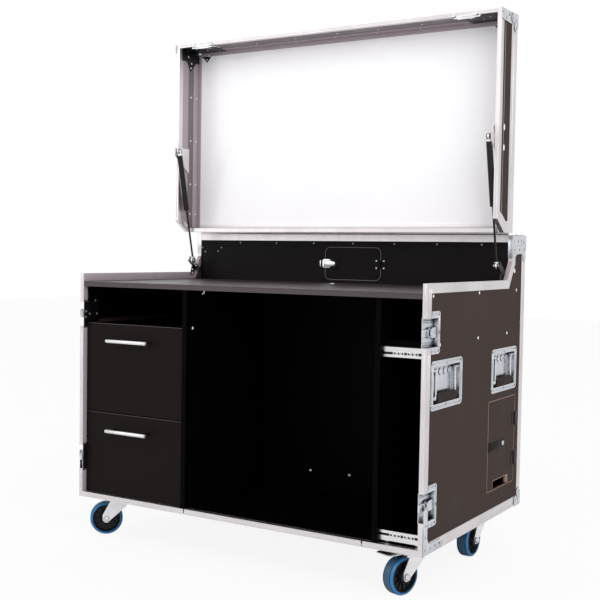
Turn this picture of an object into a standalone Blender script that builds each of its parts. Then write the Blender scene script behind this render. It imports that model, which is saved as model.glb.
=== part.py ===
"""A workstation road case on castors: drawers, a kneehole, a rack bay and a writing-board lid.

Lengths are metres. X runs across the case from its middle plane, Y runs back from its front face and
Z runs up from the floor. The lid's pieces are drawn where they lie with the lid shut.
"""

import math

import bmesh
import bpy
from mathutils import Euler, Matrix, Vector

# The body.
CASE_WIDTH = 1.140
CASE_DEPTH = 0.720
CASTOR_HEIGHT = 0.125
FRONT_TOP = 0.809
REAR_TOP = 0.940
STRIP_DEPTH = 0.112
CHAMFER_RUN = 0.038
CHAMFER_RISE = 0.055
PANEL = 0.009
BASE_THICK = 0.012
PARTITION = 0.015
FIT = 0.0003
MOVING_GAP = 0.001
CASE_PLACE = (0.014, -0.350, 0.0)

# The aluminium edge sections.
TRIM = 0.0015
OUTER_LEG = 0.025
INNER_LEG = 0.020
ANGLE_LEG = 0.030
BALL_RADIUS = 0.015
BALL_INSET = 0.011
FLANGE_LONG = 0.046
FLANGE_WIDE = 0.028
FLANGE_POINT = 0.010
FLANGE_NOTCH = 0.018
FLANGE_PROUD = 0.001
LEFT_JOINT_SHIFT = 0.013
RIGHT_JOINT_SHIFT = -0.027
JOINT_WIDTH = 0.0008

# The worktop, walls and shelves.
WORKTOP_TOP = 0.785
WORKTOP_SETBACK = 0.002
WALL_INSET = 0.289
LEFT_PARTITION_INSET = 0.386
RIGHT_PARTITION_INSET = 0.142
SHELF_FRONT = 0.036
CUBBY_SHELF_Z = 0.645
CUBBY_SHELF_THICK = 0.012
RACK_SHELF_RISE = 0.0162

# The rack rails.
RAIL_FACE_Y = 0.015
RAIL_THICK = 0.002
RAIL_HEIGHT = 0.0257
RAIL_DEPTH = 0.030
RACK_WIDTH = 0.4651
LOWER_HOLE_RISE = 0.0256
LOWER_RAIL_DROP = 0.0154
RACK_UNIT = 0.04445
HOLE_PITCH = 0.015875
HOLE_RADIUS = 0.0035
RACK_CENTRE_INSET = 0.0655
RAIL_FOOT = 0.020

# The drawers.
DRAWER_LEFT_INSET = 0.015
DRAWER_PARTITION_GAP = 0.002
DRAWER_FACE_Y = 0.016
FRONT_THICK = 0.016
DRAWER_BOTTOMS = (0.391, 0.142)
DRAWER_TOPS = (0.659, 0.388)
BOX_REAR_GAP = 0.021
BOX_SIDE = 0.010
BOX_BASE = 0.006
BOX_LIFT = 0.010
BOX_DROP = 0.024
RUNNER_REACH = 0.018
RUNNER_REACH_INNER = 0.012
RUNNER_HEIGHT = 0.040
RUNNER_LIFT = 0.020
RUNNER_START = 0.040
RUNNER_END_GAP = 0.031
BAR_RADIUS = 0.006
BAR_LENGTH = 0.152
BAR_POSTS = 0.128
BAR_SHIFT = -0.0075
BAR_Y = -0.014
BAR_POST_RADIUS = 0.0042
BAR_DROP = 0.0495

# The side handles.
DISH_LONG = 0.208
DISH_TALL = 0.126
FRONT_DISH_Y = 0.134
REAR_DISH_INSET = 0.161
DISH_CORNER = 0.012
DISH_Z = 0.550
RECESS_LONG = 0.172
RECESS_TALL = 0.095
RECESS_DEPTH = 0.0135
PRESSED = 0.0012
BAIL_RADIUS = 0.0035
BAIL_DEPTH = 0.0045
BAIL_PIVOT_RISE = 0.038
BAIL_REACH = 0.072
BAIL_SPAN = 0.134
GRIP_THICK_HALF = 0.0078
GRIP_TALL_HALF = 0.0110
GRIP_LONG = 0.108

# The side latches.
LATCH_HEIGHTS = (0.685, 0.247)
LATCH_NAMES = ("upper", "lower")
LATCH_FLANGE_DEEP = 0.080
LATCH_FLANGE_TALL = 0.108
LATCH_PROUD = 0.0008
LATCH_CORNER = 0.008
LATCH_WELL_DEEP = 0.070
LATCH_WELL_TALL = 0.074
LATCH_WELL_FLOOR = 0.0130
POST_RADIUS = 0.003
POST_Y = 0.034
HOOK_HALF = 0.009
HOOK_THICK = 0.0025
HOOK_FRONT = -0.004
HOOK_REAR = 0.048
HOOK_TRAVEL = 0.010
CAM_RADIUS = 0.013
CAM_THICK = 0.003
EAR_INNER = 0.0073
EAR_THICK = 0.003
EAR_HALF = 0.004
EAR_PROUD = 0.0027
WING_AXIS_RISE = 0.0023
WING_BARREL = 0.002
WING_LONG = 0.034
WING_HALF = 0.013
WING_NECK_HALF = 0.0065
WING_NECK_LONG = 0.0065
WING_CORNER = 0.004

# The access door in the right side.
DOOR_REAR_INSET = 0.060
DOOR_LONG = 0.213
DOOR_BOTTOM = 0.208
DOOR_TOP = 0.463
DOOR_GAP = 0.0012
DOOR_HINGE_HEIGHTS = (0.394, 0.275)
DOOR_HINGE_TALL = 0.040
KNUCKLE_RADIUS = 0.003
LEAF = 0.0012
LEAF_REACH = 0.018
LOCK_RUN = 0.112
LOCK_Z = 0.334
LOCK_RADIUS = 0.011
LOCK_BARREL = 0.0088
LOCK_INSIDE = 0.010
LOCK_TONGUE_GAP = 0.006
LOCK_TONGUE_THICK = 0.002
NOTCH_RUN = 0.011
NOTCH_TALL = 0.032
CABLE_SLOT_RUN = 0.044
CABLE_SLOT_LONG = 0.123
CABLE_SLOT_TALL = 0.024

# The hatch in the service panel.
HATCH_LEFT = -0.057
HATCH_RIGHT = 0.139
HATCH_BOTTOM = 0.797
HATCH_TOP = 0.898
HATCH_CORNER = 0.015
HATCH_HINGE_Z = 0.8465
HATCH_HINGE_TALL = 0.027
HATCH_HINGE_REACH = 0.021
LATCH_LEVER_LEFT = -0.074
LATCH_LEVER_RIGHT = -0.012
LATCH_LEVER_TALL = 0.020
LATCH_LEVER_THICK = 0.003
LATCH_PLATE_TALL = 0.032
LATCH_EAR = 0.008

# The lid.
HINGE_RISE = 0.006
HINGE_RADIUS = 0.005
HINGE_LEAF = 0.022
HINGE_KNUCKLES = 9
LID_GAP = 0.001
LID_OVERHANG = 0.024
BOARD_THICK = 0.004
BOARD_INSET = 0.022
BOARD_FRONT_GAP = 0.024
BOARD_REAR_GAP = 0.022
LID_OUTER_LEG = 0.033
KEEPER_INSET = 0.105
KEEPER_WIDE = 0.080
KEEPER_TALL = 0.036
KEEPER_LIP = 0.009

# The gas struts.
STRUT_INSET = 0.025
LID_STUD_RUN = 0.270
LID_STUD_DROP = 0.013
BODY_STUD_RUN = 0.064
BODY_STUD_DROP = 0.014
STUD_RADIUS = 0.004
STUD_HEAD = 0.0055
STRUT_EYE = 0.009
STRUT_EYE_HALF = 0.005
TUBE_RADIUS = 0.009
TUBE_BORE = 0.0040
TUBE_START = 0.014
TUBE_END = 0.200
TUBE_CAP = 0.004
NECK_RADIUS = 0.005
ROD_RADIUS = 0.0032
ROD_LENGTH = 0.192
BRACKET_HALF = 0.014
BRACKET_DROP = 0.009
BRACKET_RISE = 0.070
BRACKET_FOOT = 0.018
ARM_HALF = 0.010

# The castors.
CASTOR_INSET = 0.075
FRONT_CASTOR_Y = 0.100
REAR_CASTOR_INSET = 0.175
CASTOR_TURNS = {"front_left": 130.5, "front_right": 160.0, "rear_left": 34.0, "rear_right": 178.0}
PLATE_LONG = 0.105
PLATE_WIDE = 0.085
PLATE_THICK = 0.004
BEARING_RADIUS = 0.027
SWIVEL_RADIUS = 0.023
SWIVEL_TOP = 0.1143
PLATE_CORNER = 0.008
FORK_TOP = 0.1062
FORK_THICK = 0.0025
FORK_INNER = 0.0225
TRAIL = 0.038
FORK_PLATE_FRONT = -0.024
FORK_PLATE_REAR = 0.026
FORK_CHEEK = 0.016
AXLE_END = 0.006
AXLE_RADIUS = 0.006
WHEEL_RADIUS = 0.050
WHEEL_WIDE = 0.036
RIM_RADIUS = 0.040
RIM_LIP = 0.004
TYRE_SHOULDER = 0.007
TYRE_CROWN = 0.001
HUB_RADIUS = 0.0135
HUB_WIDE = 0.043
WEB_WIDE = 0.020
PEDAL_PIVOT = (0.033, 0.105)
PEDAL_PIN = 0.0025
PEDAL_SLEEVE = 0.0042
PEDAL_SIDES = (-0.010, 0.044)
PEDAL_REACH = 0.053
PEDAL_THICK = 0.003
PEDAL_CORNER = 0.008

HALF = CASE_WIDTH / 2
SKIN_OUT = HALF - TRIM - FIT
SKIN_IN = SKIN_OUT - PANEL
CLOSER_IN = SKIN_IN - FIT - TRIM
INSIDE = CLOSER_IN - FIT
WALL_HALF = SKIN_IN - FIT
STRIP_FRONT = CASE_DEPTH - STRIP_DEPTH
LEFT_PARTITION_X = LEFT_PARTITION_INSET - HALF
RIGHT_PARTITION_X = HALF - RIGHT_PARTITION_INSET
CLOSER_JOINTS = (LEFT_PARTITION_X + LEFT_JOINT_SHIFT, RIGHT_PARTITION_X + RIGHT_JOINT_SHIFT)
RACK_CENTRE_X = HALF - RACK_CENTRE_INSET
DRAWER_LEFT = DRAWER_LEFT_INSET - HALF
DRAWER_RIGHT = LEFT_PARTITION_X - DRAWER_PARTITION_GAP
BAR_CENTRE_X = (DRAWER_LEFT + DRAWER_RIGHT) / 2 + BAR_SHIFT
WALL_FRONT = CASE_DEPTH - WALL_INSET
BOX_REAR = WALL_FRONT - BOX_REAR_GAP
RUNNER_END = WALL_FRONT - RUNNER_END_GAP
DISH_CENTRES = (FRONT_DISH_Y, CASE_DEPTH - REAR_DISH_INSET)
DOOR_REAR = CASE_DEPTH - DOOR_REAR_INSET
DOOR_FRONT = DOOR_REAR - DOOR_LONG
LOCK_Y = DOOR_FRONT + LOCK_RUN
CABLE_SLOT_START = DOOR_FRONT + CABLE_SLOT_RUN
CABLE_SLOT_END = CABLE_SLOT_START + CABLE_SLOT_LONG
BOARD_HALF = HALF - BOARD_INSET
BOARD_REAR = STRIP_FRONT - BOARD_REAR_GAP
KEEPER_X = HALF - KEEPER_INSET
CASTOR_X = HALF - CASTOR_INSET
REAR_CASTOR_Y = CASE_DEPTH - REAR_CASTOR_INSET
STRUT_OFFSET = HALF - STRUT_INSET
STRUT_EYE_SPAN = (STRUT_OFFSET - STRUT_EYE_HALF, STRUT_OFFSET + STRUT_EYE_HALF)
CHAMFER_FRONT = STRIP_FRONT - CHAMFER_RUN
CHAMFER_TOP = FRONT_TOP + CHAMFER_RISE
BASE_BOTTOM = CASTOR_HEIGHT + TRIM + FIT
BASE_TOP = BASE_BOTTOM + BASE_THICK
FLOOR_Z = BASE_TOP + FIT
LOWER_HOLE_Z = FLOOR_Z + LOWER_HOLE_RISE
UPPER_HOLE_Z = LOWER_HOLE_Z + RACK_WIDTH
RACK_SHELF_Z = UPPER_HOLE_Z + RACK_SHELF_RISE
LID_STUD = (STRIP_FRONT - LID_STUD_RUN, FRONT_TOP - LID_STUD_DROP)
BODY_STUD = (STRIP_FRONT - BODY_STUD_RUN, CHAMFER_TOP - BODY_STUD_DROP)
BRACKET_FACE = CLOSER_IN - MOVING_GAP
WORKTOP_BOTTOM = WORKTOP_TOP - PARTITION
CEILING_Z = WORKTOP_BOTTOM - FIT
ROOF_TOP = REAR_TOP - TRIM - FIT
ROOF_BOTTOM = ROOF_TOP - PANEL
BACK_OUT = CASE_DEPTH - TRIM - FIT
BACK_IN = BACK_OUT - PANEL
SERVICE_FRONT = STRIP_FRONT + TRIM + FIT
SERVICE_BACK = SERVICE_FRONT + PANEL
WALL_BACK = WALL_FRONT + PANEL
CHANNEL_BOTTOM = CASTOR_HEIGHT + ANGLE_LEG + FIT
CHANNEL_TOP = REAR_TOP - ANGLE_LEG - FIT
HINGE_Z = REAR_TOP + HINGE_RISE
LID_BOTTOM = FRONT_TOP + LID_GAP
LID_REAR = STRIP_FRONT - LID_GAP
LID_REAR_BOTTOM = CHAMFER_TOP + 3 * LID_GAP
LID_CHAMFER_FRONT = CHAMFER_FRONT - LID_GAP
LID_FRONT = -LID_OVERHANG
LID_SKIN_FRONT = LID_FRONT + TRIM + FIT
BOARD_FRONT = LID_FRONT + BOARD_FRONT_GAP
LID_SKIN_REAR = LID_REAR - TRIM - FIT
DISH_FLOOR = HALF - RECESS_DEPTH - PRESSED
WELL_FLOOR = HALF - LATCH_WELL_FLOOR
HOOK_IN = WELL_FLOOR + FIT
CAM_IN = HOOK_IN + HOOK_THICK + FIT
CAM_OUT = CAM_IN + CAM_THICK
WING_OFFSET = CAM_OUT + WING_AXIS_RISE

FINISHES = {
    "aluminium": ((0.66, 0.62, 0.63), 1.0, 0.32),
    "zinc": ((0.62, 0.68, 0.70), 1.0, 0.28),
    "panel": ((0.060, 0.054, 0.053), 0.0, 0.55),
    "black": ((0.014, 0.013, 0.014), 0.0, 0.50),
    "board": ((0.93, 0.93, 0.93), 0.0, 0.12),
    "steel": ((0.55, 0.55, 0.56), 1.0, 0.25),
    "blue": ((0.03, 0.29, 0.60), 0.0, 0.60),
}


def clear_scene():
    for obj in list(bpy.data.objects):
        bpy.data.objects.remove(obj, do_unlink=True)


def linked(mesh):
    obj = bpy.data.objects.new("shape", mesh)
    bpy.context.scene.collection.objects.link(obj)
    return obj


def solid(points, faces):
    """A temporary object from points and faces, with its faces turned outwards."""
    mesh = bpy.data.meshes.new("shape")
    mesh.from_pydata(points, [], faces)
    work = bmesh.new()
    work.from_mesh(mesh)
    bmesh.ops.recalc_face_normals(work, faces=work.faces)
    work.to_mesh(mesh)
    work.free()
    return linked(mesh)


def prism(outline, axis, start, end):
    """A solid with this outline that runs along one axis. The outline gives the other two in order."""
    along = "XYZ".index(axis)
    across = [index for index in range(3) if index != along]
    points = []
    for level in sorted((start, end)):
        for first, second in outline:
            point = [level, level, level]
            point[across[0]] = first
            point[across[1]] = second
            points.append(point)
    count = len(outline)
    faces = [tuple(range(count)), tuple(range(count, 2 * count))]
    for index in range(count):
        after = (index + 1) % count
        faces.append((index, after, after + count, index + count))
    return solid(points, faces)


def block(corner, opposite):
    """A box between two opposite corners, given in any order."""
    xs, ys, zs = (sorted(pair) for pair in zip(corner, opposite))
    return prism([(xs[0], ys[0]), (xs[1], ys[0]), (xs[1], ys[1]), (xs[0], ys[1])], "Z", *zs)


def circle(centre, radius, sides, turn=0.0):
    angles = [turn + 2 * math.pi * index / sides for index in range(sides)]
    return [(centre[0] + radius * math.cos(a), centre[1] + radius * math.sin(a)) for a in angles]


def disc(centre, radius, axis, start, end, sides=16):
    return prism(circle(centre, radius, sides, math.pi / sides), axis, start, end)


def rounded(low, high, radius, steps=3):
    """A rectangle's outline with its corners rounded."""
    corners = ((high[0], high[1], 0), (low[0], high[1], 1), (low[0], low[1], 2), (high[0], low[1], 3))
    outline = []
    for x, y, quarter in corners:
        centre_x = x - radius if x == high[0] else x + radius
        centre_y = y - radius if y == high[1] else y + radius
        for step in range(steps + 1):
            angle = math.pi / 2 * (quarter + step / steps)
            outline.append((centre_x + radius * math.cos(angle), centre_y + radius * math.sin(angle)))
    return outline


def turned(profile, sides):
    """A ring about the X axis from a closed outline of (radius, x) pairs."""
    points = []
    for index in range(sides):
        angle = 2 * math.pi * index / sides
        for radius, x in profile:
            points.append((x, radius * math.cos(angle), radius * math.sin(angle)))
    count = len(profile)
    faces = []
    for index in range(sides):
        here = index * count
        after = ((index + 1) % sides) * count
        for step in range(count):
            then = (step + 1) % count
            faces.append((here + step, here + then, after + then, after + step))
    return solid(points, faces)


def ball(centre, radius):
    mesh = bpy.data.meshes.new("shape")
    work = bmesh.new()
    place = Matrix.Translation(centre) @ Matrix.Rotation(math.pi / 4, 4, "Z")
    bmesh.ops.create_uvsphere(work, u_segments=12, v_segments=8, radius=radius, matrix=place)
    work.to_mesh(mesh)
    work.free()
    return linked(mesh)


def inset_path(path, distance):
    """The path moved to its right by a distance, with mitred corners."""
    moved = []
    for index, point in enumerate(path):
        here = Vector(point)
        sides = []
        if index > 0:
            step = (here - Vector(path[index - 1])).normalized()
            sides.append(Vector((step.y, -step.x)))
        if index < len(path) - 1:
            step = (Vector(path[index + 1]) - here).normalized()
            sides.append(Vector((step.y, -step.x)))
        middle = sum(sides, Vector((0.0, 0.0))).normalized()
        moved.append(tuple(here + middle * (distance / middle.dot(sides[0]))))
    return moved


def inset_outline(outline, distance):
    """A closed clockwise outline moved inwards, with mitred corners."""
    around = [outline[-1], *outline, outline[0]]
    return inset_path(around, distance)[1:-1]


def strip(path, width, axis, start, end):
    """A band of one width along the right of a path, as thick as start to end."""
    return prism(path + inset_path(path, width)[::-1], axis, start, end)


def dropped(obj):
    mesh = obj.data
    bpy.data.objects.remove(obj, do_unlink=True)
    if mesh.users == 0:
        bpy.data.meshes.remove(mesh)


def united(shapes, cuts=()):
    """One temporary solid: the shapes joined, then the cuts taken out of them."""
    body = shapes[0]
    for operation, others in (("UNION", shapes[1:]), ("DIFFERENCE", cuts)):
        for other in others:
            modifier = body.modifiers.new("join", "BOOLEAN")
            modifier.operation = operation
            modifier.solver = "EXACT"
            modifier.object = other
    graph = bpy.context.evaluated_depsgraph_get()
    graph.update()
    mesh = bpy.data.meshes.new_from_object(body.evaluated_get(graph))
    for obj in (*shapes, *cuts):
        dropped(obj)
    return linked(mesh)


def pivot(name, location, turn=(0.0, 0.0, 0.0), parent=None):
    empty = bpy.data.objects.new(name, None)
    empty.location = location
    empty.rotation_euler = turn
    empty.parent = parent
    bpy.context.scene.collection.objects.link(empty)
    return empty


def finished(name, shape, finish, origin=(0.0, 0.0, 0.0), frame=None, turn=(0.0, 0.0, 0.0)):
    """Makes a temporary solid into a named piece whose origin is the given point of its frame."""
    parent, zero = frame
    shape.data.transform(Matrix.Translation(-Vector(origin)))
    shape.name = name
    shape.data.name = name
    shape.parent = parent
    shape.location = Vector(origin) - Vector(zero)
    shape.rotation_euler = Euler(turn)
    colour, metallic, roughness = FINISHES[finish]
    material = bpy.data.materials.new(name)
    material.use_nodes = True
    shader = material.node_tree.nodes["Principled BSDF"]
    shader.inputs["Base Color"].default_value = (*colour, 1.0)
    shader.inputs["Metallic"].default_value = metallic
    shader.inputs["Roughness"].default_value = roughness
    shape.data.materials.clear()
    shape.data.materials.append(material)
    shape.data.shade_smooth()
    shape.data.set_sharp_from_angle(angle=math.radians(35))
    return shape


def body_outline():
    """The side of the body, clockwise from its front bottom corner, as (back, up) pairs."""
    return [
        (0.0, CASTOR_HEIGHT),
        (0.0, FRONT_TOP),
        (CHAMFER_FRONT, FRONT_TOP),
        (STRIP_FRONT, CHAMFER_TOP),
        (STRIP_FRONT, REAR_TOP),
        (CASE_DEPTH, REAR_TOP),
        (CASE_DEPTH, CASTOR_HEIGHT),
    ]


def lid_outline():
    """The side of the shut lid, anticlockwise from its front bottom corner."""
    return [
        (LID_FRONT, LID_BOTTOM),
        (LID_CHAMFER_FRONT, LID_BOTTOM),
        (LID_REAR, LID_REAR_BOTTOM),
        (LID_REAR, REAR_TOP),
        (LID_FRONT, REAR_TOP),
    ]


def flange(corner, inwards):
    """The outline of a ball corner's flange: two pointed arms with a notch between them."""
    shoulder = FLANGE_LONG - FLANGE_POINT
    arm = [(0.0, 0.0), (shoulder, 0.0), (FLANGE_LONG, FLANGE_WIDE / 2), (shoulder, FLANGE_WIDE)]
    local = arm + [(FLANGE_NOTCH, FLANGE_NOTCH)] + [(b, a) for a, b in arm[:0:-1]]
    return [(corner[0] + inwards[0] * a, corner[1] + inwards[1] * b) for a, b in local]


def ball_corner(side, y, back, z, up):
    """A ball with a flange on each of the corner's three faces. The cut keeps it outside the panels."""
    x = side * HALF
    centre = (x - side * BALL_INSET, y - back * BALL_INSET, z - up * BALL_INSET)
    shapes = [
        ball(centre, BALL_RADIUS),
        prism(flange((y, z), (-back, -up)), "X", x - side * TRIM / 2, x + side * FLANGE_PROUD),
        prism(flange((x, z), (-side, -up)), "Y", y - back * TRIM / 2, y + back * FLANGE_PROUD),
        prism(flange((x, y), (-side, -back)), "Z", z - up * TRIM / 2, z + up * FLANGE_PROUD),
    ]
    hollow = block(
        (0.0, y - back * (TRIM + CASE_DEPTH), z - up * (TRIM + CASE_DEPTH)),
        (x - side * TRIM, y - back * TRIM, z - up * TRIM),
    )
    return united(shapes, [hollow])


def runner(side, wall_x, reach, bottom):
    """A drawer runner that stands out from a wall, with its root inside the wall."""
    low = bottom + RUNNER_LIFT
    return block(
        (wall_x - side * PANEL / 2, RUNNER_START, low),
        (wall_x + side * reach, RUNNER_END, low + RUNNER_HEIGHT),
    )


def dish_hole(side, centre_y):
    half_long = RECESS_LONG / 2 + PRESSED + FIT
    half_tall = RECESS_TALL / 2 + PRESSED + FIT
    return block(
        (side * (SKIN_IN - PANEL), centre_y - half_long, DISH_Z - half_tall),
        (side * (HALF + PANEL), centre_y + half_long, DISH_Z + half_tall),
    )


def latch_hole(side, height):
    half_tall = LATCH_WELL_TALL / 2 + PRESSED + FIT
    return block(
        (side * (SKIN_IN - PANEL), -PANEL, height - half_tall),
        (side * (HALF + PANEL), LATCH_WELL_DEEP + PRESSED + FIT, height + half_tall),
    )


def door_hole():
    grown = DOOR_GAP
    slab = block(
        (SKIN_IN - PANEL, DOOR_FRONT - grown, DOOR_BOTTOM - grown),
        (HALF + PANEL, DOOR_REAR + grown, DOOR_TOP + grown),
    )
    notch = block(
        (SKIN_IN - PANEL, DOOR_FRONT - NOTCH_RUN / 2, LOCK_Z + FIT - NOTCH_TALL / 2),
        (HALF + PANEL, DOOR_FRONT + NOTCH_RUN, LOCK_Z + FIT + NOTCH_TALL / 2),
    )
    return [slab, notch]


def door_leaves(from_y, to_y, spans):
    """The flat leaves and knuckles of the access door's hinges."""
    shapes = []
    for height in DOOR_HINGE_HEIGHTS:
        low = height - DOOR_HINGE_TALL / 2
        shapes.append(
            block((SKIN_OUT - LEAF, from_y, low), (SKIN_OUT + LEAF, to_y, low + DOOR_HINGE_TALL))
        )
        for start, end in spans:
            shapes.append(
                disc(
                    (SKIN_OUT + KNUCKLE_RADIUS, DOOR_REAR + DOOR_GAP / 2),
                    KNUCKLE_RADIUS,
                    "Z",
                    low + start * DOOR_HINGE_TALL,
                    low + end * DOOR_HINGE_TALL,
                    10,
                )
            )
    return shapes


def knuckle_holes(spans):
    """Room round the other side's knuckles."""
    cuts = []
    for height in DOOR_HINGE_HEIGHTS:
        low = height - DOOR_HINGE_TALL / 2
        for start, end in spans:
            cuts.append(
                disc(
                    (SKIN_OUT + KNUCKLE_RADIUS, DOOR_REAR + DOOR_GAP / 2),
                    KNUCKLE_RADIUS + MOVING_GAP / 2,
                    "Z",
                    low + start * DOOR_HINGE_TALL - FIT,
                    low + end * DOOR_HINGE_TALL + FIT,
                    10,
                )
            )
    return cuts


OUTER_SPANS = ((0.0, 0.31), (0.69, 1.0))
MIDDLE_SPANS = ((0.33, 0.67),)


def build_side_panel(side, name, frame):
    outline = inset_outline(body_outline(), TRIM + FIT)
    shapes = [prism(outline, "X", side * SKIN_IN, side * SKIN_OUT)]
    cuts = [dish_hole(side, y) for y in DISH_CENTRES]
    cuts += [latch_hole(side, height) for height in LATCH_HEIGHTS]
    if side > 0:
        panel = united(shapes, cuts + door_hole())
        leaves = door_leaves(DOOR_REAR + DOOR_GAP, DOOR_REAR + DOOR_GAP + LEAF_REACH, OUTER_SPANS)
        panel = united([panel] + leaves, knuckle_holes(MIDDLE_SPANS))
    else:
        panel = united(shapes, cuts)
        runners = [runner(1, -SKIN_IN, RUNNER_REACH, bottom) for bottom in DRAWER_BOTTOMS]
        panel = united([panel] + runners)
    finished(name, panel, "panel", frame=frame)


def build_panels(frame):
    build_side_panel(-1, "left_side_panel", frame)
    build_side_panel(1, "right_side_panel", frame)
    base = block((-WALL_HALF, TRIM + FIT, BASE_BOTTOM), (WALL_HALF, BACK_IN - FIT, BASE_TOP))
    finished("base_panel", base, "black", frame=frame)
    back = block((-WALL_HALF, BACK_IN, BASE_BOTTOM), (WALL_HALF, BACK_OUT, ROOF_TOP))
    finished("back_panel", back, "panel", frame=frame)
    roof = block((-WALL_HALF, SERVICE_BACK + FIT, ROOF_BOTTOM), (WALL_HALF, BACK_IN - FIT, ROOF_TOP))
    finished("rear_top_panel", roof, "panel", frame=frame)
    worktop = block(
        (-INSIDE, WORKTOP_SETBACK, WORKTOP_BOTTOM), (INSIDE, SERVICE_FRONT - FIT, WORKTOP_TOP)
    )
    finished("worktop", worktop, "black", frame=frame)
    wall = block((-WALL_HALF, WALL_FRONT, FLOOR_Z), (WALL_HALF, WALL_BACK, CEILING_Z))
    finished("compartment_wall", wall, "black", frame=frame)


def partition(left):
    body = block((left, WORKTOP_SETBACK, FLOOR_Z), (left + PARTITION, WALL_FRONT - FIT, CEILING_Z))
    notch = block(
        (left - PARTITION, -PARTITION, FLOOR_Z - PARTITION),
        (left + 2 * PARTITION, INNER_LEG + FIT, FLOOR_Z + TRIM + FIT),
    )
    return united([body], [notch])


def build_partitions(frame):
    well_inside = WELL_FLOOR - PRESSED - 2 * FIT
    shelf = block(
        (-well_inside, SHELF_FRONT, CUBBY_SHELF_Z),
        (LEFT_PARTITION_X + PARTITION / 2, WALL_FRONT - FIT, CUBBY_SHELF_Z + CUBBY_SHELF_THICK),
    )
    runners = [runner(-1, LEFT_PARTITION_X, RUNNER_REACH_INNER, bottom) for bottom in DRAWER_BOTTOMS]
    left = united([partition(LEFT_PARTITION_X), shelf] + runners)
    finished("left_partition", left, "black", frame=frame)
    rack_shelf = block(
        (RIGHT_PARTITION_X + PARTITION / 2, SHELF_FRONT, RACK_SHELF_Z),
        (well_inside, WALL_FRONT - FIT, RACK_SHELF_Z + PARTITION),
    )
    right = united([partition(RIGHT_PARTITION_X), rack_shelf])
    finished("right_partition", right, "black", frame=frame)


def rail_holes(height):
    """One rack unit's pair of three holes on each side of the rail's middle."""
    front = RAIL_FACE_Y - RAIL_THICK
    cuts = []
    for group in (-0.5, 0.5):
        for step in (-1, 0, 1):
            x = RACK_CENTRE_X + group * RACK_UNIT + step * HOLE_PITCH
            cuts.append(disc((x, height), HOLE_RADIUS, "Y", front, RAIL_FACE_Y + RAIL_DEPTH / 2, 12))
    return cuts


def build_rack_rails(frame):
    left = RIGHT_PARTITION_X + PARTITION + FIT
    right = INSIDE
    face = RAIL_FACE_Y + RAIL_THICK
    top = RACK_SHELF_Z - FIT
    shapes = [
        block((left, RAIL_FACE_Y, top - RAIL_HEIGHT), (right, face, top)),
        block((left, RAIL_FACE_Y, top - RAIL_THICK), (right, RAIL_FACE_Y + 2 * RAIL_DEPTH, top)),
    ]
    finished("top_rack_rail", united(shapes, rail_holes(UPPER_HOLE_Z)), "steel", frame=frame)
    bottom = LOWER_HOLE_Z - LOWER_RAIL_DROP
    foot_z = FLOOR_Z + TRIM + FIT
    rear = RAIL_FACE_Y + RAIL_DEPTH
    shapes = [
        block((left, RAIL_FACE_Y, bottom), (right, face, bottom + RAIL_HEIGHT)),
        block((left, RAIL_FACE_Y, bottom), (right, rear, bottom + RAIL_THICK)),
    ]
    for start in (left, right - RAIL_FOOT):
        low = (start, RAIL_FACE_Y + RAIL_DEPTH / 2, foot_z)
        shapes.append(block(low, (start + RAIL_FOOT, rear, bottom + RAIL_THICK / 2)))
    finished("bottom_rack_rail", united(shapes, rail_holes(LOWER_HOLE_Z)), "steel", frame=frame)


def closer_channel(path, out_leg, side):
    return [
        strip(path, out_leg, "X", side * (HALF - TRIM), side * HALF),
        strip(path, TRIM, "X", side * CLOSER_IN, side * HALF),
        strip(path, INNER_LEG, "X", side * CLOSER_IN, side * (CLOSER_IN + TRIM)),
    ]


def bracket(side, plate, foot):
    """A strut's bracket: a plate clear of the other half's edge section, and a foot on its own."""
    return [
        prism(plate, "X", side * (BRACKET_FACE - TRIM), side * BRACKET_FACE),
        prism(foot, "X", side * (BRACKET_FACE - TRIM / 2), side * (CLOSER_IN + TRIM / 2)),
    ]


def body_bracket(side):
    """A short arm square to the chamfer, with the stud that carries the strut's lower eye."""
    along = Vector((CHAMFER_RUN, CHAMFER_RISE)).normalized()
    inwards = Vector((along.y, -along.x))
    centre = Vector(BODY_STUD)
    edge = (Vector((CHAMFER_FRONT, FRONT_TOP)) - centre).dot(inwards)

    def arm(start, end, half):
        ends = ((start, -half), (end, -half), (end, half), (start, half))
        return [tuple(centre + inwards * far + along * shift) for far, shift in ends]

    far = edge + BRACKET_FOOT
    plate = arm(-STRUT_EYE, far, ARM_HALF)
    shapes = bracket(side, plate, arm(edge + TRIM, far - TRIM, ARM_HALF - TRIM))
    eye_end = STRUT_EYE_SPAN[0] - FIT
    head_end = side * (eye_end - 2 * TRIM)
    shapes.append(disc(BODY_STUD, STUD_RADIUS, "X", side * (BRACKET_FACE - TRIM / 2), head_end, 12))
    shapes.append(disc(BODY_STUD, STUD_HEAD, "X", side * eye_end, head_end, 12))
    return shapes


def lid_bracket(side):
    """A plate that stands out past the lid's rim for the strut's upper end."""
    y, z = LID_STUD
    front = y - BRACKET_HALF
    plate = [
        (front, z - BRACKET_DROP),
        (y + BRACKET_HALF, z - BRACKET_DROP),
        (y + BRACKET_RISE, z + BRACKET_RISE),
        (front, z + BRACKET_RISE),
    ]
    low = LID_BOTTOM + TRIM
    high = LID_BOTTOM + BRACKET_FOOT
    foot = rounded((front + TRIM, low), (y + BRACKET_HALF - TRIM, high), TRIM, 1)
    return bracket(side, plate, foot)


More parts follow.
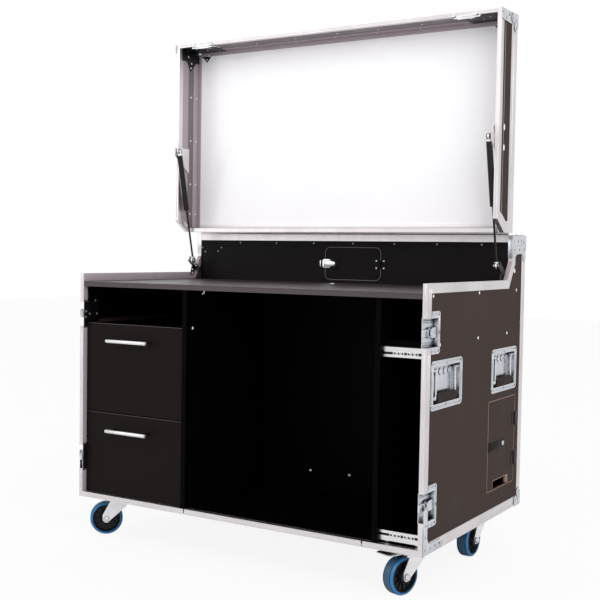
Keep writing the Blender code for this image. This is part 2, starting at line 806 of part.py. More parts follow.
def build_edge_frame(side, name, frame):
    """The closer along one side, with that side's two latch dishes and its strut bracket."""
    outline = body_outline()
    path = [(0.0, CHANNEL_BOTTOM), *outline[1:4], (STRIP_FRONT, CHANNEL_TOP)]
    shapes = closer_channel(path, OUTER_LEG, side)
    cuts = []
    for height in LATCH_HEIGHTS:
        half_flange = LATCH_FLANGE_TALL / 2
        half_well = LATCH_WELL_TALL / 2
        low = (0.0, height - half_flange)
        rim = rounded(low, (LATCH_FLANGE_DEEP, height + half_flange), LATCH_CORNER)
        shapes.append(prism(rim, "X", side * (SKIN_OUT + FIT), side * (HALF + LATCH_PROUD)))
        shapes.append(
            block(
                (side * (WELL_FLOOR - PRESSED), 0.0, height - half_well - PRESSED),
                (side * HALF, LATCH_WELL_DEEP + PRESSED, height + half_well + PRESSED),
            )
        )
        cuts.append(
            block(
                (side * WELL_FLOOR, -PANEL, height - half_well),
                (side * (HALF + PANEL), LATCH_WELL_DEEP, height + half_well),
            )
        )
    body = united(shapes, cuts)
    more = body_bracket(side)
    for height in LATCH_HEIGHTS:
        more.append(
            disc(
                (POST_Y, height),
                POST_RADIUS,
                "X",
                side * (WELL_FLOOR - PRESSED / 2),
                side * (CAM_IN - FIT),
                10,
            )
        )
    finished(name, united([body] + more), "aluminium", frame=frame)


def build_body_edges(frame):
    """All the other edge sections of the body, with the hinge rail and the rear ball corners."""
    bottom = CASTOR_HEIGHT
    edge = CASE_DEPTH
    shapes = [
        block((-HALF, 0.0, bottom), (HALF, ANGLE_LEG, bottom + TRIM)),
        block((-HALF, 0.0, bottom), (HALF, TRIM, FLOOR_Z + TRIM)),
        block((-WALL_HALF, 0.0, FLOOR_Z), (WALL_HALF, INNER_LEG, FLOOR_Z + TRIM)),
        block((-HALF, edge - ANGLE_LEG, bottom), (HALF, edge, bottom + TRIM)),
        block((-HALF, edge - TRIM, bottom), (HALF, edge, bottom + ANGLE_LEG)),
        block((-HALF, edge - ANGLE_LEG, REAR_TOP - TRIM), (HALF, edge, REAR_TOP)),
        block((-HALF, edge - TRIM, REAR_TOP - ANGLE_LEG), (HALF, edge, REAR_TOP)),
        block((-HALF, STRIP_FRONT, REAR_TOP - INNER_LEG), (HALF, STRIP_FRONT + TRIM, REAR_TOP)),
        block((-HALF, STRIP_FRONT, REAR_TOP - TRIM), (HALF, STRIP_FRONT + ANGLE_LEG, REAR_TOP)),
    ]
    cuts = []
    for side in (-1, 1):
        out = side * HALF
        skin = side * (HALF - TRIM)
        leg = side * (HALF - ANGLE_LEG)
        shapes += [
            block((out, 0.0, bottom), (skin, edge, bottom + ANGLE_LEG)),
            block((out, 0.0, bottom), (leg, edge, bottom + TRIM)),
            block((out, 0.0, bottom), (side * CLOSER_IN, TRIM, bottom + ANGLE_LEG)),
            block((out, edge - ANGLE_LEG, bottom), (skin, edge, REAR_TOP)),
            block((out, edge - TRIM, bottom), (leg, edge, REAR_TOP)),
            block((out, STRIP_FRONT, REAR_TOP - ANGLE_LEG), (skin, edge, REAR_TOP)),
            block((out, STRIP_FRONT, REAR_TOP - TRIM), (leg, edge, REAR_TOP)),
            block(
                (out, STRIP_FRONT, REAR_TOP - ANGLE_LEG),
                (side * CLOSER_IN, STRIP_FRONT + TRIM, REAR_TOP),
            ),
            ball_corner(side, edge, 1, REAR_TOP, 1),
            ball_corner(side, edge, 1, bottom, -1),
        ]
    for x in CLOSER_JOINTS:
        half = JOINT_WIDTH / 2
        cuts.append(
            block((x - half, -TRIM, bottom + TRIM + FIT), (x + half, ANGLE_LEG, FLOOR_Z + 2 * TRIM))
        )
    body = united(shapes, cuts)
    knuckles = hinge_knuckles(1, HINGE_KNUCKLES)
    leaf = block(
        (-INSIDE, STRIP_FRONT + MOVING_GAP / 2, REAR_TOP - TRIM / 2),
        (INSIDE, STRIP_FRONT + HINGE_LEAF, REAR_TOP + TRIM),
    )
    cuts = hinge_knuckles(0, HINGE_KNUCKLES, MOVING_GAP / 2)
    body = united([body, united([leaf], cuts)] + knuckles)
    finished("body_edge_frame", body, "aluminium", frame=frame)


def hinge_knuckles(first, count, grown=0.0):
    """Every second knuckle of the lid's long hinge."""
    pitch = 2 * INSIDE / count
    shapes = []
    for index in range(first, count, 2):
        start = -INSIDE + index * pitch
        shapes.append(
            disc(
                (STRIP_FRONT, HINGE_Z),
                HINGE_RADIUS + grown,
                "X",
                start + MOVING_GAP / 2 - grown,
                start + pitch - MOVING_GAP / 2 + grown,
                12,
            )
        )
    return shapes


def hatch_knuckles(spans, grown=0.0):
    """Knuckles of the hatch's hinge, or the room round them."""
    low = HATCH_HINGE_Z - HATCH_HINGE_TALL / 2
    centre = (HATCH_RIGHT + DOOR_GAP / 2, SERVICE_FRONT - KNUCKLE_RADIUS)
    shapes = []
    for start, end in spans:
        bottom = low + start * HATCH_HINGE_TALL - grown
        top = low + end * HATCH_HINGE_TALL + grown
        shapes.append(disc(centre, KNUCKLE_RADIUS + grown, "Z", bottom, top, 10))
    return shapes


def hatch_leaf(from_x, to_x):
    half = HATCH_HINGE_TALL / 2
    return block(
        (from_x, SERVICE_FRONT - LEAF, HATCH_HINGE_Z - half),
        (to_x, SERVICE_FRONT + LEAF, HATCH_HINGE_Z + half),
    )


def build_service_panel(frame):
    """The upright panel behind the worktop, with the fixed halves of the hatch's hinge and latch."""
    panel = block((-INSIDE, SERVICE_FRONT, WORKTOP_BOTTOM), (INSIDE, SERVICE_BACK, ROOF_TOP))
    low = (HATCH_LEFT - DOOR_GAP, HATCH_BOTTOM - DOOR_GAP)
    high = (HATCH_RIGHT + DOOR_GAP, HATCH_TOP + DOOR_GAP)
    outline = rounded(low, high, HATCH_CORNER + DOOR_GAP)
    hole = prism(outline, "Y", SERVICE_FRONT - PANEL, SERVICE_BACK + PANEL)
    panel = united([panel], [hole])
    leaf = hatch_leaf(HATCH_RIGHT + DOOR_GAP, HATCH_RIGHT + HATCH_HINGE_REACH)
    shapes = [panel, leaf] + hatch_knuckles(OUTER_SPANS)
    panel = united(shapes, hatch_knuckles(MIDDLE_SPANS, MOVING_GAP / 2))
    keeper = block(
        (LATCH_LEVER_LEFT, SERVICE_FRONT - 2 * LEAF, HATCH_HINGE_Z - LATCH_LEVER_TALL / 3),
        (HATCH_LEFT - 2 * DOOR_GAP, SERVICE_FRONT + LEAF, HATCH_HINGE_Z + LATCH_LEVER_TALL / 3),
    )
    finished("service_panel", united([panel, keeper]), "black", frame=frame)


def build_hatch(frame):
    """The hatch door with its half of the hinge and its latch plate, and the latch's lever."""
    outline = rounded((HATCH_LEFT, HATCH_BOTTOM), (HATCH_RIGHT, HATCH_TOP), HATCH_CORNER)
    door = prism(outline, "Y", SERVICE_FRONT, SERVICE_BACK)
    leaf = hatch_leaf(HATCH_RIGHT - HATCH_HINGE_REACH, HATCH_RIGHT)
    body = united([door, leaf], hatch_knuckles(OUTER_SPANS, MOVING_GAP / 2))
    z = HATCH_HINGE_Z
    half = LATCH_PLATE_TALL / 2
    pin_x = LATCH_LEVER_RIGHT - half / 2
    plate = block(
        (HATCH_LEFT + DOOR_GAP, SERVICE_FRONT - LEAF, z - half),
        (LATCH_LEVER_RIGHT, SERVICE_FRONT + LEAF, z + half),
    )
    ears = []
    for sign in (-1, 1):
        ears.append(
            block(
                (LATCH_LEVER_RIGHT - half, SERVICE_FRONT, z + sign * (LATCH_LEVER_TALL / 2 + FIT)),
                (LATCH_LEVER_RIGHT, SERVICE_FRONT - LATCH_EAR, z + sign * half),
            )
        )
    body = united([body, plate] + ears + hatch_knuckles(MIDDLE_SPANS))
    origin = (HATCH_RIGHT + DOOR_GAP / 2, SERVICE_FRONT - KNUCKLE_RADIUS, z)
    finished("hatch_door", body, "black", origin=origin, frame=frame)
    lever_y = SERVICE_FRONT - 2 * LEAF - FIT - LATCH_LEVER_THICK / 2
    tall = LATCH_LEVER_TALL / 2
    lever = [
        block(
            (LATCH_LEVER_LEFT + DOOR_GAP, lever_y - LATCH_LEVER_THICK / 2, z - tall),
            (pin_x, lever_y + LATCH_LEVER_THICK / 2, z + tall),
        ),
        disc((pin_x, lever_y), LATCH_LEVER_THICK - LEAF / 2, "Z", z - tall, z + tall, 10),
    ]
    finished("hatch_latch", united(lever), "zinc", origin=(pin_x, lever_y, z), frame=frame)


def build_access_door(frame):
    door = block((SKIN_IN, DOOR_FRONT, DOOR_BOTTOM), (SKIN_OUT, DOOR_REAR, DOOR_TOP))
    notch = block(
        (SKIN_IN - PANEL, DOOR_FRONT - NOTCH_RUN, LOCK_Z + FIT - NOTCH_TALL / 2),
        (HALF + PANEL, DOOR_FRONT + NOTCH_RUN, LOCK_Z + FIT + NOTCH_TALL / 2),
    )
    slot = block(
        (SKIN_IN - PANEL, CABLE_SLOT_START, DOOR_BOTTOM - PANEL),
        (HALF + PANEL, CABLE_SLOT_END, DOOR_BOTTOM + CABLE_SLOT_TALL),
    )
    body = united([door], [notch, slot])
    leaves = door_leaves(DOOR_REAR - LEAF_REACH, DOOR_REAR, MIDDLE_SPANS)
    plate = block(
        (SKIN_OUT - LEAF, DOOR_FRONT + NOTCH_RUN, LOCK_Z - LOCK_RADIUS),
        (SKIN_OUT + LEAF, LOCK_Y + 2 * LOCK_RADIUS, LOCK_Z + LOCK_RADIUS),
    )
    centre = (LOCK_Y, LOCK_Z)
    lock = disc(centre, LOCK_BARREL, "X", SKIN_IN - LOCK_INSIDE, SKIN_OUT + 2 * LEAF, 16)
    tongue_x = SKIN_IN - LOCK_TONGUE_GAP
    tongue = block(
        (tongue_x - LOCK_TONGUE_THICK, LOCK_Y - LOCK_RADIUS / 2, LOCK_Z - LOCK_RADIUS / 2),
        (tongue_x, LOCK_Y + LOCK_RADIUS / 2, LOCK_Z + 2 * LOCK_RADIUS),
    )
    body = united([body] + leaves, knuckle_holes(OUTER_SPANS))
    body = united([body, plate, lock, tongue])
    origin = (SKIN_OUT + KNUCKLE_RADIUS, DOOR_REAR + DOOR_GAP / 2, DOOR_BOTTOM)
    finished("access_door", body, "panel", origin=origin, frame=frame)


def build_drawers(frame):
    front_back = DRAWER_FACE_Y + FRONT_THICK
    inside_front = DRAWER_FACE_Y + FRONT_THICK / 2
    box_left = -SKIN_IN + RUNNER_REACH + MOVING_GAP
    box_right = LEFT_PARTITION_X - RUNNER_REACH_INNER - MOVING_GAP
    bar_half = BAR_LENGTH / 2
    for name, bottom, top in zip(("upper_drawer", "lower_drawer"), DRAWER_BOTTOMS, DRAWER_TOPS):
        front = block((DRAWER_LEFT, DRAWER_FACE_Y, bottom), (DRAWER_RIGHT, front_back, top))
        low = bottom + BOX_LIFT
        box = block((box_left, inside_front, low), (box_right, BOX_REAR, top - BOX_DROP))
        hollow = block(
            (box_left + BOX_SIDE, front_back, low + BOX_BASE),
            (box_right - BOX_SIDE, BOX_REAR - BOX_SIDE, top + BOX_SIDE),
        )
        centre = (BAR_Y, top - BAR_DROP)
        bars = [disc(centre, BAR_RADIUS, "X", BAR_CENTRE_X - bar_half, BAR_CENTRE_X + bar_half, 12)]
        for sign in (-1, 1):
            post = (BAR_CENTRE_X + sign * BAR_POSTS / 2, centre[1])
            bars.append(disc(post, BAR_POST_RADIUS, "Y", BAR_Y, inside_front, 10))
        finished(name, united([united([box], [hollow]), front] + bars), "black", frame=frame)


def build_dish(side, centre_y):
    """A pressed tray with a flange round it."""
    half_long = DISH_LONG / 2
    half_tall = DISH_TALL / 2
    well_long = RECESS_LONG / 2
    well_tall = RECESS_TALL / 2
    low = (centre_y - half_long, DISH_Z - half_tall)
    rim = rounded(low, (centre_y + half_long, DISH_Z + half_tall), DISH_CORNER)
    shapes = [
        prism(rim, "X", side * (SKIN_OUT + FIT), side * HALF),
        block(
            (side * DISH_FLOOR, centre_y - well_long - PRESSED, DISH_Z - well_tall - PRESSED),
            (side * (HALF - TRIM / 2), centre_y + well_long + PRESSED, DISH_Z + well_tall + PRESSED),
        ),
    ]
    cut = block(
        (side * (DISH_FLOOR + PRESSED), centre_y - well_long, DISH_Z - well_tall),
        (side * (HALF + PANEL), centre_y + well_long, DISH_Z + well_tall),
    )
    return united(shapes, [cut])


def build_bail(axis_x, centre_y, axis_z):
    """A wire bail hung from two pins, with an oval grip along its foot."""
    grip_z = axis_z - BAIL_REACH
    span = BAIL_SPAN / 2
    half_grip = GRIP_LONG / 2
    stretch = GRIP_TALL_HALF / GRIP_THICK_HALF
    oval = [(x, z * stretch) for x, z in circle((0.0, 0.0), GRIP_THICK_HALF, 16, math.pi / 16)]
    grip = [(axis_x + x, grip_z + z) for x, z in oval]
    shapes = [
        prism(grip, "Y", centre_y - half_grip, centre_y + half_grip),
        disc((axis_x, grip_z), BAIL_RADIUS, "Y", centre_y - span, centre_y + span, 8),
    ]
    for sign in (-1, 1):
        arm_y = centre_y + sign * (span - BAIL_RADIUS)
        pin_start = arm_y - sign * BAIL_RADIUS
        pin_end = centre_y + sign * (RECESS_LONG / 2 - FIT)
        shapes.append(disc((axis_x, arm_y), BAIL_RADIUS, "Z", grip_z, axis_z, 8))
        shapes.append(disc((axis_x, axis_z), BAIL_RADIUS, "Y", pin_start, pin_end, 8))
    return united(shapes)


def build_handles(frame):
    axis_z = DISH_Z + BAIL_PIVOT_RISE
    for side, side_name in ((-1, "left"), (1, "right")):
        for place, centre_y in zip(("front", "rear"), DISH_CENTRES):
            name = side_name + "_" + place
            finished(name + "_handle_dish", build_dish(side, centre_y), "zinc", frame=frame)
            axis_x = side * (HALF - BAIL_DEPTH)
            origin = (axis_x, centre_y, axis_z)
            bail = build_bail(axis_x, centre_y, axis_z)
            finished(name + "_bail", bail, "zinc", origin=origin, frame=frame)


def build_latches(frame):
    for side, side_name in ((-1, "left"), (1, "right")):
        for place, height in zip(LATCH_NAMES, LATCH_HEIGHTS):
            name = side_name + "_" + place
            hook = [
                block(
                    (side * HOOK_IN, HOOK_FRONT, height - HOOK_HALF),
                    (side * (HOOK_IN + HOOK_THICK), HOOK_REAR, height + HOOK_HALF),
                ),
                block(
                    (side * HOOK_IN, HOOK_FRONT, height - HOOK_HALF),
                    (side * CAM_OUT, HOOK_FRONT + HOOK_THICK, height + HOOK_HALF),
                ),
            ]
            half_slot = POST_RADIUS + FIT
            slot = block(
                (side * (HOOK_IN - PANEL), POST_Y - HOOK_TRAVEL - half_slot - FIT, height - half_slot),
                (side * (HOOK_IN + PANEL), POST_Y + half_slot, height + half_slot),
            )
            finished(name + "_latch_hook", united(hook, [slot]), "steel", frame=frame)
            cam = [disc((POST_Y, height), CAM_RADIUS, "X", side * CAM_IN, side * CAM_OUT, 24)]
            for sign in (-1, 1):
                ear_z = height + sign * EAR_INNER
                cam.append(
                    block(
                        (side * (CAM_OUT - CAM_THICK / 2), POST_Y - EAR_HALF, ear_z),
                        (side * (WING_OFFSET + EAR_PROUD), POST_Y + EAR_HALF, ear_z + sign * EAR_THICK),
                    )
                )
            origin = (side * CAM_IN, POST_Y, height)
            finished(name + "_latch_cam", united(cam), "zinc", origin=origin, frame=frame)
            build_wing(side, name, height, frame)


def build_wing(side, name, height, frame):
    """The wing is drawn folded flat. On the left it stands straight out, as the photograph shows."""
    axis = (side * WING_OFFSET, POST_Y)
    barrel = disc(axis, WING_BARREL, "Z", height - WING_NECK_HALF, height + WING_NECK_HALF, 10)
    tip = POST_Y + WING_LONG
    shoulder = POST_Y + WING_NECK_LONG
    cut = WING_CORNER
    outline = [
        (POST_Y, height - WING_NECK_HALF),
        (shoulder, height - WING_NECK_HALF),
        (shoulder, height - WING_HALF),
        (tip - cut, height - WING_HALF),
        (tip, height - WING_HALF + cut),
        (tip, height + WING_HALF - cut),
        (tip - cut, height + WING_HALF),
        (shoulder, height + WING_HALF),
        (shoulder, height + WING_NECK_HALF),
        (POST_Y, height + WING_NECK_HALF),
    ]
    half = WING_BARREL / 2
    plate = prism(outline, "X", side * (WING_OFFSET - half), side * (WING_OFFSET + half))
    turn = (0.0, 0.0, math.pi / 2) if side < 0 else (0.0, 0.0, 0.0)
    origin = (side * WING_OFFSET, POST_Y, height)
    finished(name + "_latch_wing", united([barrel, plate]), "zinc", origin=origin, frame=frame, turn=turn)


def build_lid(frame):
    inner = [
        (LID_SKIN_FRONT, LID_BOTTOM + TRIM + FIT),
        *inset_path(lid_outline()[::-1], TRIM + FIT)[2:4][::-1],
        (LID_SKIN_REAR, ROOF_TOP),
        (LID_SKIN_FRONT, ROOF_TOP),
    ]
    shapes = [block((-SKIN_OUT, LID_SKIN_FRONT, ROOF_BOTTOM), (SKIN_OUT, LID_SKIN_REAR, ROOF_TOP))]
    for side in (-1, 1):
        shapes.append(prism(inner, "X", side * SKIN_IN, side * SKIN_OUT))
    shapes.append(
        block(
            (-SKIN_OUT, LID_SKIN_FRONT, LID_BOTTOM + TRIM + FIT),
            (SKIN_OUT, LID_SKIN_FRONT + PANEL, ROOF_TOP),
        )
    )
    shapes.append(
        block(
            (-SKIN_OUT, LID_SKIN_REAR - PANEL, LID_REAR_BOTTOM + 2 * TRIM),
            (SKIN_OUT, LID_SKIN_REAR, ROOF_TOP),
        )
    )
    finished("lid_shell", united(shapes), "panel", origin=(0.0, STRIP_FRONT, HINGE_Z), frame=frame)
    board_top = ROOF_BOTTOM - FIT
    board = block(
        (-BOARD_HALF, BOARD_FRONT, board_top - BOARD_THICK), (BOARD_HALF, BOARD_REAR, board_top)
    )
    finished("whiteboard", board, "board", origin=(0.0, STRIP_FRONT, HINGE_Z), frame=frame)


def build_lid_edges(frame):
    """The lid's closers, edge angles, keepers, strut brackets and ball corners."""
    rim = LID_BOTTOM
    front = LID_FRONT
    leg = LID_OUTER_LEG
    thick_in = LID_SKIN_FRONT + PANEL + FIT
    rear = LID_REAR
    rear_in = LID_SKIN_REAR - PANEL - FIT
    rear_rim = LID_REAR_BOTTOM
    path = lid_outline()[:3][::-1]
    cross = CLOSER_IN + TRIM
    shapes = [
        block((-HALF, front, rim), (HALF, front + TRIM, rim + leg)),
        block((-HALF, front, rim), (HALF, thick_in + TRIM, rim + TRIM)),
        block((-cross, thick_in, rim), (cross, thick_in + TRIM, rim + INNER_LEG)),
        block((-HALF, rear - TRIM, rear_rim), (HALF, rear, rear_rim + INNER_LEG)),
        block((-cross, rear_in - TRIM, rear_rim), (cross, rear, rear_rim + TRIM)),
        block((-cross, rear_in - TRIM, rear_rim), (cross, rear_in, rear_rim + INNER_LEG)),
        block((-HALF, front, REAR_TOP - TRIM), (HALF, front + leg, REAR_TOP)),
        block((-HALF, front, REAR_TOP - leg), (HALF, front + TRIM, REAR_TOP)),
        block((-HALF, rear - leg, REAR_TOP - TRIM), (HALF, rear, REAR_TOP)),
        block((-HALF, rear - TRIM, REAR_TOP - leg), (HALF, rear, REAR_TOP)),
    ]
    for side in (-1, 1):
        out = side * HALF
        skin = side * (HALF - TRIM)
        angle = side * (HALF - leg)
        outer_strip, rim_strip, inner_strip = closer_channel(path, leg, side)
        ends = [
            block((0.0, front - TRIM, rim + TRIM), (side * HALF, thick_in, REAR_TOP)),
            block((0.0, rear_in, rear_rim + TRIM), (side * HALF, rear + TRIM, REAR_TOP)),
        ]
        shapes += [outer_strip, rim_strip, united([inner_strip], ends)]
        shapes += [
            block((out, front, REAR_TOP - leg), (skin, rear, REAR_TOP)),
            block((out, front, REAR_TOP - TRIM), (angle, rear, REAR_TOP)),
            block((out, front, rim), (skin, front + leg, REAR_TOP)),
            block((out, front, rim), (angle, front + TRIM, REAR_TOP)),
            block((out, rear - leg, rear_rim), (skin, rear, REAR_TOP)),
            block((out, rear - TRIM, rear_rim), (angle, rear, REAR_TOP)),
        ]
        shapes.append(ball_corner(side, front, -1, REAR_TOP, 1))
        keeper_in = side * (KEEPER_X - KEEPER_WIDE / 2)
        keeper_out = side * (KEEPER_X + KEEPER_WIDE / 2)
        low = (keeper_in, thick_in, rim)
        shapes.append(block(low, (keeper_out, thick_in + 2 * TRIM, rim + KEEPER_TALL)))
        shapes.append(block(low, (keeper_out, thick_in + KEEPER_LIP, rim + TRIM)))
    body = united(shapes)
    more = lid_bracket(-1) + lid_bracket(1) + hinge_knuckles(0, HINGE_KNUCKLES)
    leaf = block(
        (-INSIDE, STRIP_FRONT - HINGE_LEAF, REAR_TOP - TRIM / 2),
        (INSIDE, STRIP_FRONT - MOVING_GAP / 2, REAR_TOP + TRIM),
    )
    more.append(united([leaf], hinge_knuckles(1, HINGE_KNUCKLES, MOVING_GAP / 2)))
    axis = (0.0, STRIP_FRONT, HINGE_Z)
    finished("lid_edge_frame", united([body] + more), "aluminium", origin=axis, frame=frame)


def open_lid_point(point):
    """Where a point of the shut lid lies with the lid open, as (back, up)."""
    back = point[0] - STRIP_FRONT
    up = point[1] - HINGE_Z
    return (STRIP_FRONT + up, HINGE_Z - back)


def build_struts(frame):
    """Each strut is drawn upright, then leant from its body stud to its lid stud."""
    upper = open_lid_point(LID_STUD)
    across = BODY_STUD[0] - upper[0]
    lean = (math.atan2(across, upper[1] - BODY_STUD[1]), 0.0, 0.0)
    pin_end = BRACKET_FACE - TRIM - FIT
    for side, side_name in ((-1, "left"), (1, "right")):
        x = side * STRUT_OFFSET
        start, end = (side * place for place in STRUT_EYE_SPAN)
        tube = united(
            [
                disc((x, 0.0), TUBE_RADIUS, "Z", -TUBE_START, -TUBE_END, 16),
                disc((x, 0.0), NECK_RADIUS, "Z", 0.0, -TUBE_START - TUBE_CAP / 2, 8),
                disc((0.0, 0.0), STRUT_EYE, "X", start, end, 16),
                disc((0.0, 0.0), STUD_RADIUS, "X", x, side * pin_end, 12),
                disc((0.0, 0.0), STUD_HEAD, "X", side * (pin_end - TRIM), side * pin_end, 12),
            ],
            [disc((x, 0.0), TUBE_BORE, "Z", -TUBE_START - TUBE_CAP, -TUBE_END - TUBE_CAP, 12)],
        )
        tube.data.transform(Matrix.Translation((0.0, *upper)))
        origin = (x, *upper)
        finished(side_name + "_strut_tube", tube, "black", origin=origin, frame=frame, turn=lean)
        rod = united(
            [
                disc((x, 0.0), ROD_RADIUS, "Z", 0.0, ROD_LENGTH, 12),
                disc((0.0, 0.0), STRUT_EYE, "X", start, end, 16),
            ],
            [disc((0.0, 0.0), STUD_RADIUS + FIT, "X", start - side * FIT, end + side * FIT, 12)],
        )
        rod.data.transform(Matrix.Translation((0.0, *BODY_STUD)))
        finished(side_name + "_strut_rod", rod, "steel", origin=(x, *BODY_STUD), frame=frame, turn=lean)


def wheel_shape():
    """A tyre on a ribbed hub, as a ring about its axle."""
    half = WHEEL_WIDE / 2
    half_hub = HUB_WIDE / 2
    half_web = WEB_WIDE / 2
    right = [
        (WHEEL_RADIUS, 0.0),
        (WHEEL_RADIUS - TYRE_CROWN, half - TYRE_SHOULDER),
        (RIM_RADIUS + RIM_LIP, half),
        (RIM_RADIUS - RIM_LIP / 2, half - RIM_LIP),
        (RIM_RADIUS - RIM_LIP, half_web),
        (HUB_RADIUS, half_web),
        (HUB_RADIUS, half_hub),
        (AXLE_RADIUS + FIT, half_hub),
    ]
    left = [(radius, -x) for radius, x in right[:0:-1]]
    return turned(left + right, 24)


def fork_shape():
    """A fork drawn trailing along +Y: a top plate, two legs and the axle between them."""
    outer = FORK_INNER + FORK_THICK
    round_end = circle((TRAIL, WHEEL_RADIUS), AXLE_RADIUS * 2, 8, math.pi / 8)
    lower = [point for point in round_end if point[1] < WHEEL_RADIUS]
    leg = [
        (FORK_PLATE_FRONT, FORK_TOP),
        (FORK_PLATE_FRONT, FORK_TOP - FORK_CHEEK),
        *sorted(lower),
        (TRAIL + AXLE_RADIUS * 2, WHEEL_RADIUS + AXLE_RADIUS * 2),
        (FORK_PLATE_REAR, FORK_TOP),
    ]
    low = (-outer, FORK_PLATE_FRONT, FORK_TOP - FORK_THICK)
    reach = outer + AXLE_END
    shapes = [
        block(low, (outer, FORK_PLATE_REAR, FORK_TOP)),
        disc((0.0, 0.0), SWIVEL_RADIUS, "Z", FORK_TOP - FORK_THICK / 2, SWIVEL_TOP, 20),
        disc((TRAIL, WHEEL_RADIUS), AXLE_RADIUS, "X", -reach, reach, 12),
    ]
    for sign in (-1, 1):
        shapes.append(prism(leg, "X", sign * FORK_INNER, sign * outer))
    return united(shapes)


def build_castors(case_frame):
    case = case_frame[0]
    for name, turn in CASTOR_TURNS.items():
        x = CASTOR_X if name.endswith("right") else -CASTOR_X
        y = FRONT_CASTOR_Y if name.startswith("front") else REAR_CASTOR_Y
        low = (x - PLATE_WIDE / 2, y - PLATE_LONG / 2)
        plate = rounded(low, (x + PLATE_WIDE / 2, y + PLATE_LONG / 2), PLATE_CORNER, 2)
        top = BASE_BOTTOM - FIT
        shapes = [
            prism(plate, "Z", top - PLATE_THICK, top),
            disc((x, y), BEARING_RADIUS, "Z", SWIVEL_TOP + FIT, top - PLATE_THICK / 2, 20),
        ]
        finished(name + "_castor_plate", united(shapes), "zinc", frame=case_frame)
        swivel = pivot(name + "_swivel", (x, y, 0.0), (0.0, 0.0, math.radians(turn)), case)
        frame = (swivel, (0.0, 0.0, 0.0))
        fork = fork_shape()
        if name == "front_right":
            fork = united([fork] + pedal_lugs())
            build_pedal(frame)
        finished(name + "_castor_fork", fork, "zinc", frame=frame)
        wheel = wheel_shape()
        wheel.data.transform(Matrix.Translation((0.0, TRAIL, WHEEL_RADIUS)))
        axle = (0.0, TRAIL, WHEEL_RADIUS)
        finished(name + "_castor_wheel", wheel, "blue", origin=axle, frame=frame)


def pedal_lugs():
    """Two lugs in front of the fork's top plate, and the brake's pin between them."""
    back, up = PEDAL_PIVOT
    outer = FORK_INNER + FORK_THICK
    shapes = [disc((back, up), PEDAL_PIN, "X", -outer, outer, 10)]
    for sign in (-1, 1):
        low = (sign * FORK_INNER, 0.0, up - PEDAL_SLEEVE)
        shapes.append(block(low, (sign * outer, back + PEDAL_SLEEVE, FORK_TOP)))
    return shapes


def build_pedal(frame):
    """The foot brake: a sleeve on its pin and a tread that reaches out past the wheel."""
    back, up = PEDAL_PIVOT
    reach = FORK_INNER - MOVING_GAP
    left, right = PEDAL_SIDES
    under = up + PEDAL_SLEEVE / 3
    tread = rounded((left, back + PEDAL_SLEEVE), (right, back + PEDAL_REACH), PEDAL_CORNER, 2)
    shapes = [
        disc((back, up), PEDAL_SLEEVE, "X", -reach, reach, 12),
        prism(tread, "Z", under, under + PEDAL_THICK),
        block((left, back, under), (reach, back + 3 * PEDAL_SLEEVE, under + PEDAL_THICK)),
    ]
    bore = disc((back, up), PEDAL_PIN + FIT, "X", -HALF, HALF, 10)
    pedal = united(shapes, [bore])
    finished("front_right_brake_pedal", pedal, "zinc", origin=(0.0, back, up), frame=frame)


def build_case():
    clear_scene()
    case = pivot("case_place", CASE_PLACE)
    lid_hinge = pivot("lid_hinge", (0.0, STRIP_FRONT, HINGE_Z), (-math.pi / 2, 0.0, 0.0), case)
    case_frame = (case, (0.0, 0.0, 0.0))
    lid_frame = (lid_hinge, (0.0, STRIP_FRONT, HINGE_Z))
    build_panels(case_frame)
    build_partitions(case_frame)
    build_rack_rails(case_frame)
    build_edge_frame(-1, "left_edge_frame", case_frame)
    build_edge_frame(1, "right_edge_frame", case_frame)
    build_body_edges(case_frame)
    build_service_panel(case_frame)
    build_hatch(case_frame)
    build_access_door(case_frame)
    build_drawers(case_frame)
    build_handles(case_frame)
    build_latches(case_frame)
    build_lid(lid_frame)
    build_lid_edges(lid_frame)
    build_struts(case_frame)
    build_castors(case_frame)


build_case()
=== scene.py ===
"""A workstation road case on castors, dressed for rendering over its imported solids."""

import math

import bmesh
import bpy
from mathutils import Matrix, Vector


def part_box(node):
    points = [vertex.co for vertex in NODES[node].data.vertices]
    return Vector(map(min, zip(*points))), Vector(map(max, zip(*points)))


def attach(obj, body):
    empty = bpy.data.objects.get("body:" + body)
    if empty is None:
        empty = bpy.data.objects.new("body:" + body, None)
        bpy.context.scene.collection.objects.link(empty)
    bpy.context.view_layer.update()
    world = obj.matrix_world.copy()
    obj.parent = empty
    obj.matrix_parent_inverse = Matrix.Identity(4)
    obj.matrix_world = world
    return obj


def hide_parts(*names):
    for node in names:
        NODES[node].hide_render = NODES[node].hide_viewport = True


bl_info = {
    "name": "Workstation Road Case",
    "version": (1, 0, 0),
    "blender": (4, 5, 0),
    "location": "View3D > Sidebar > Road Case",
    "description": "Dresses a workstation road case with its finishes, fittings and studio",
    "category": "Object",
}

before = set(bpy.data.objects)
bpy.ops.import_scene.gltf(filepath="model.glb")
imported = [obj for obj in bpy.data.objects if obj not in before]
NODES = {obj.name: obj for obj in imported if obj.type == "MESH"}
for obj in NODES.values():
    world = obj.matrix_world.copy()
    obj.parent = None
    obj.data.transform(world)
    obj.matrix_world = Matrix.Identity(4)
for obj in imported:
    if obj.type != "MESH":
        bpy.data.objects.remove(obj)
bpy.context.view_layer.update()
SIDES = (("left", -1), ("right", 1))
CASTORS = ("front_left", "front_right", "rear_left", "rear_right")
# The way out of the case on each side, for heads that are set on a wall.
OUTWARD = {-1: "-X", 1: "+X"}


def colour_property(name, description, default):
    return bpy.props.FloatVectorProperty(
        name=name, description=description, default=default, subtype="COLOR", size=3, min=0.0, max=1.0
    )


def number_property(name, description, default, unit="NONE"):
    return bpy.props.FloatProperty(
        name=name, description=description, default=default, unit=unit, precision=4
    )


def length_property(name, description, default):
    return number_property(name, description, default, "LENGTH")


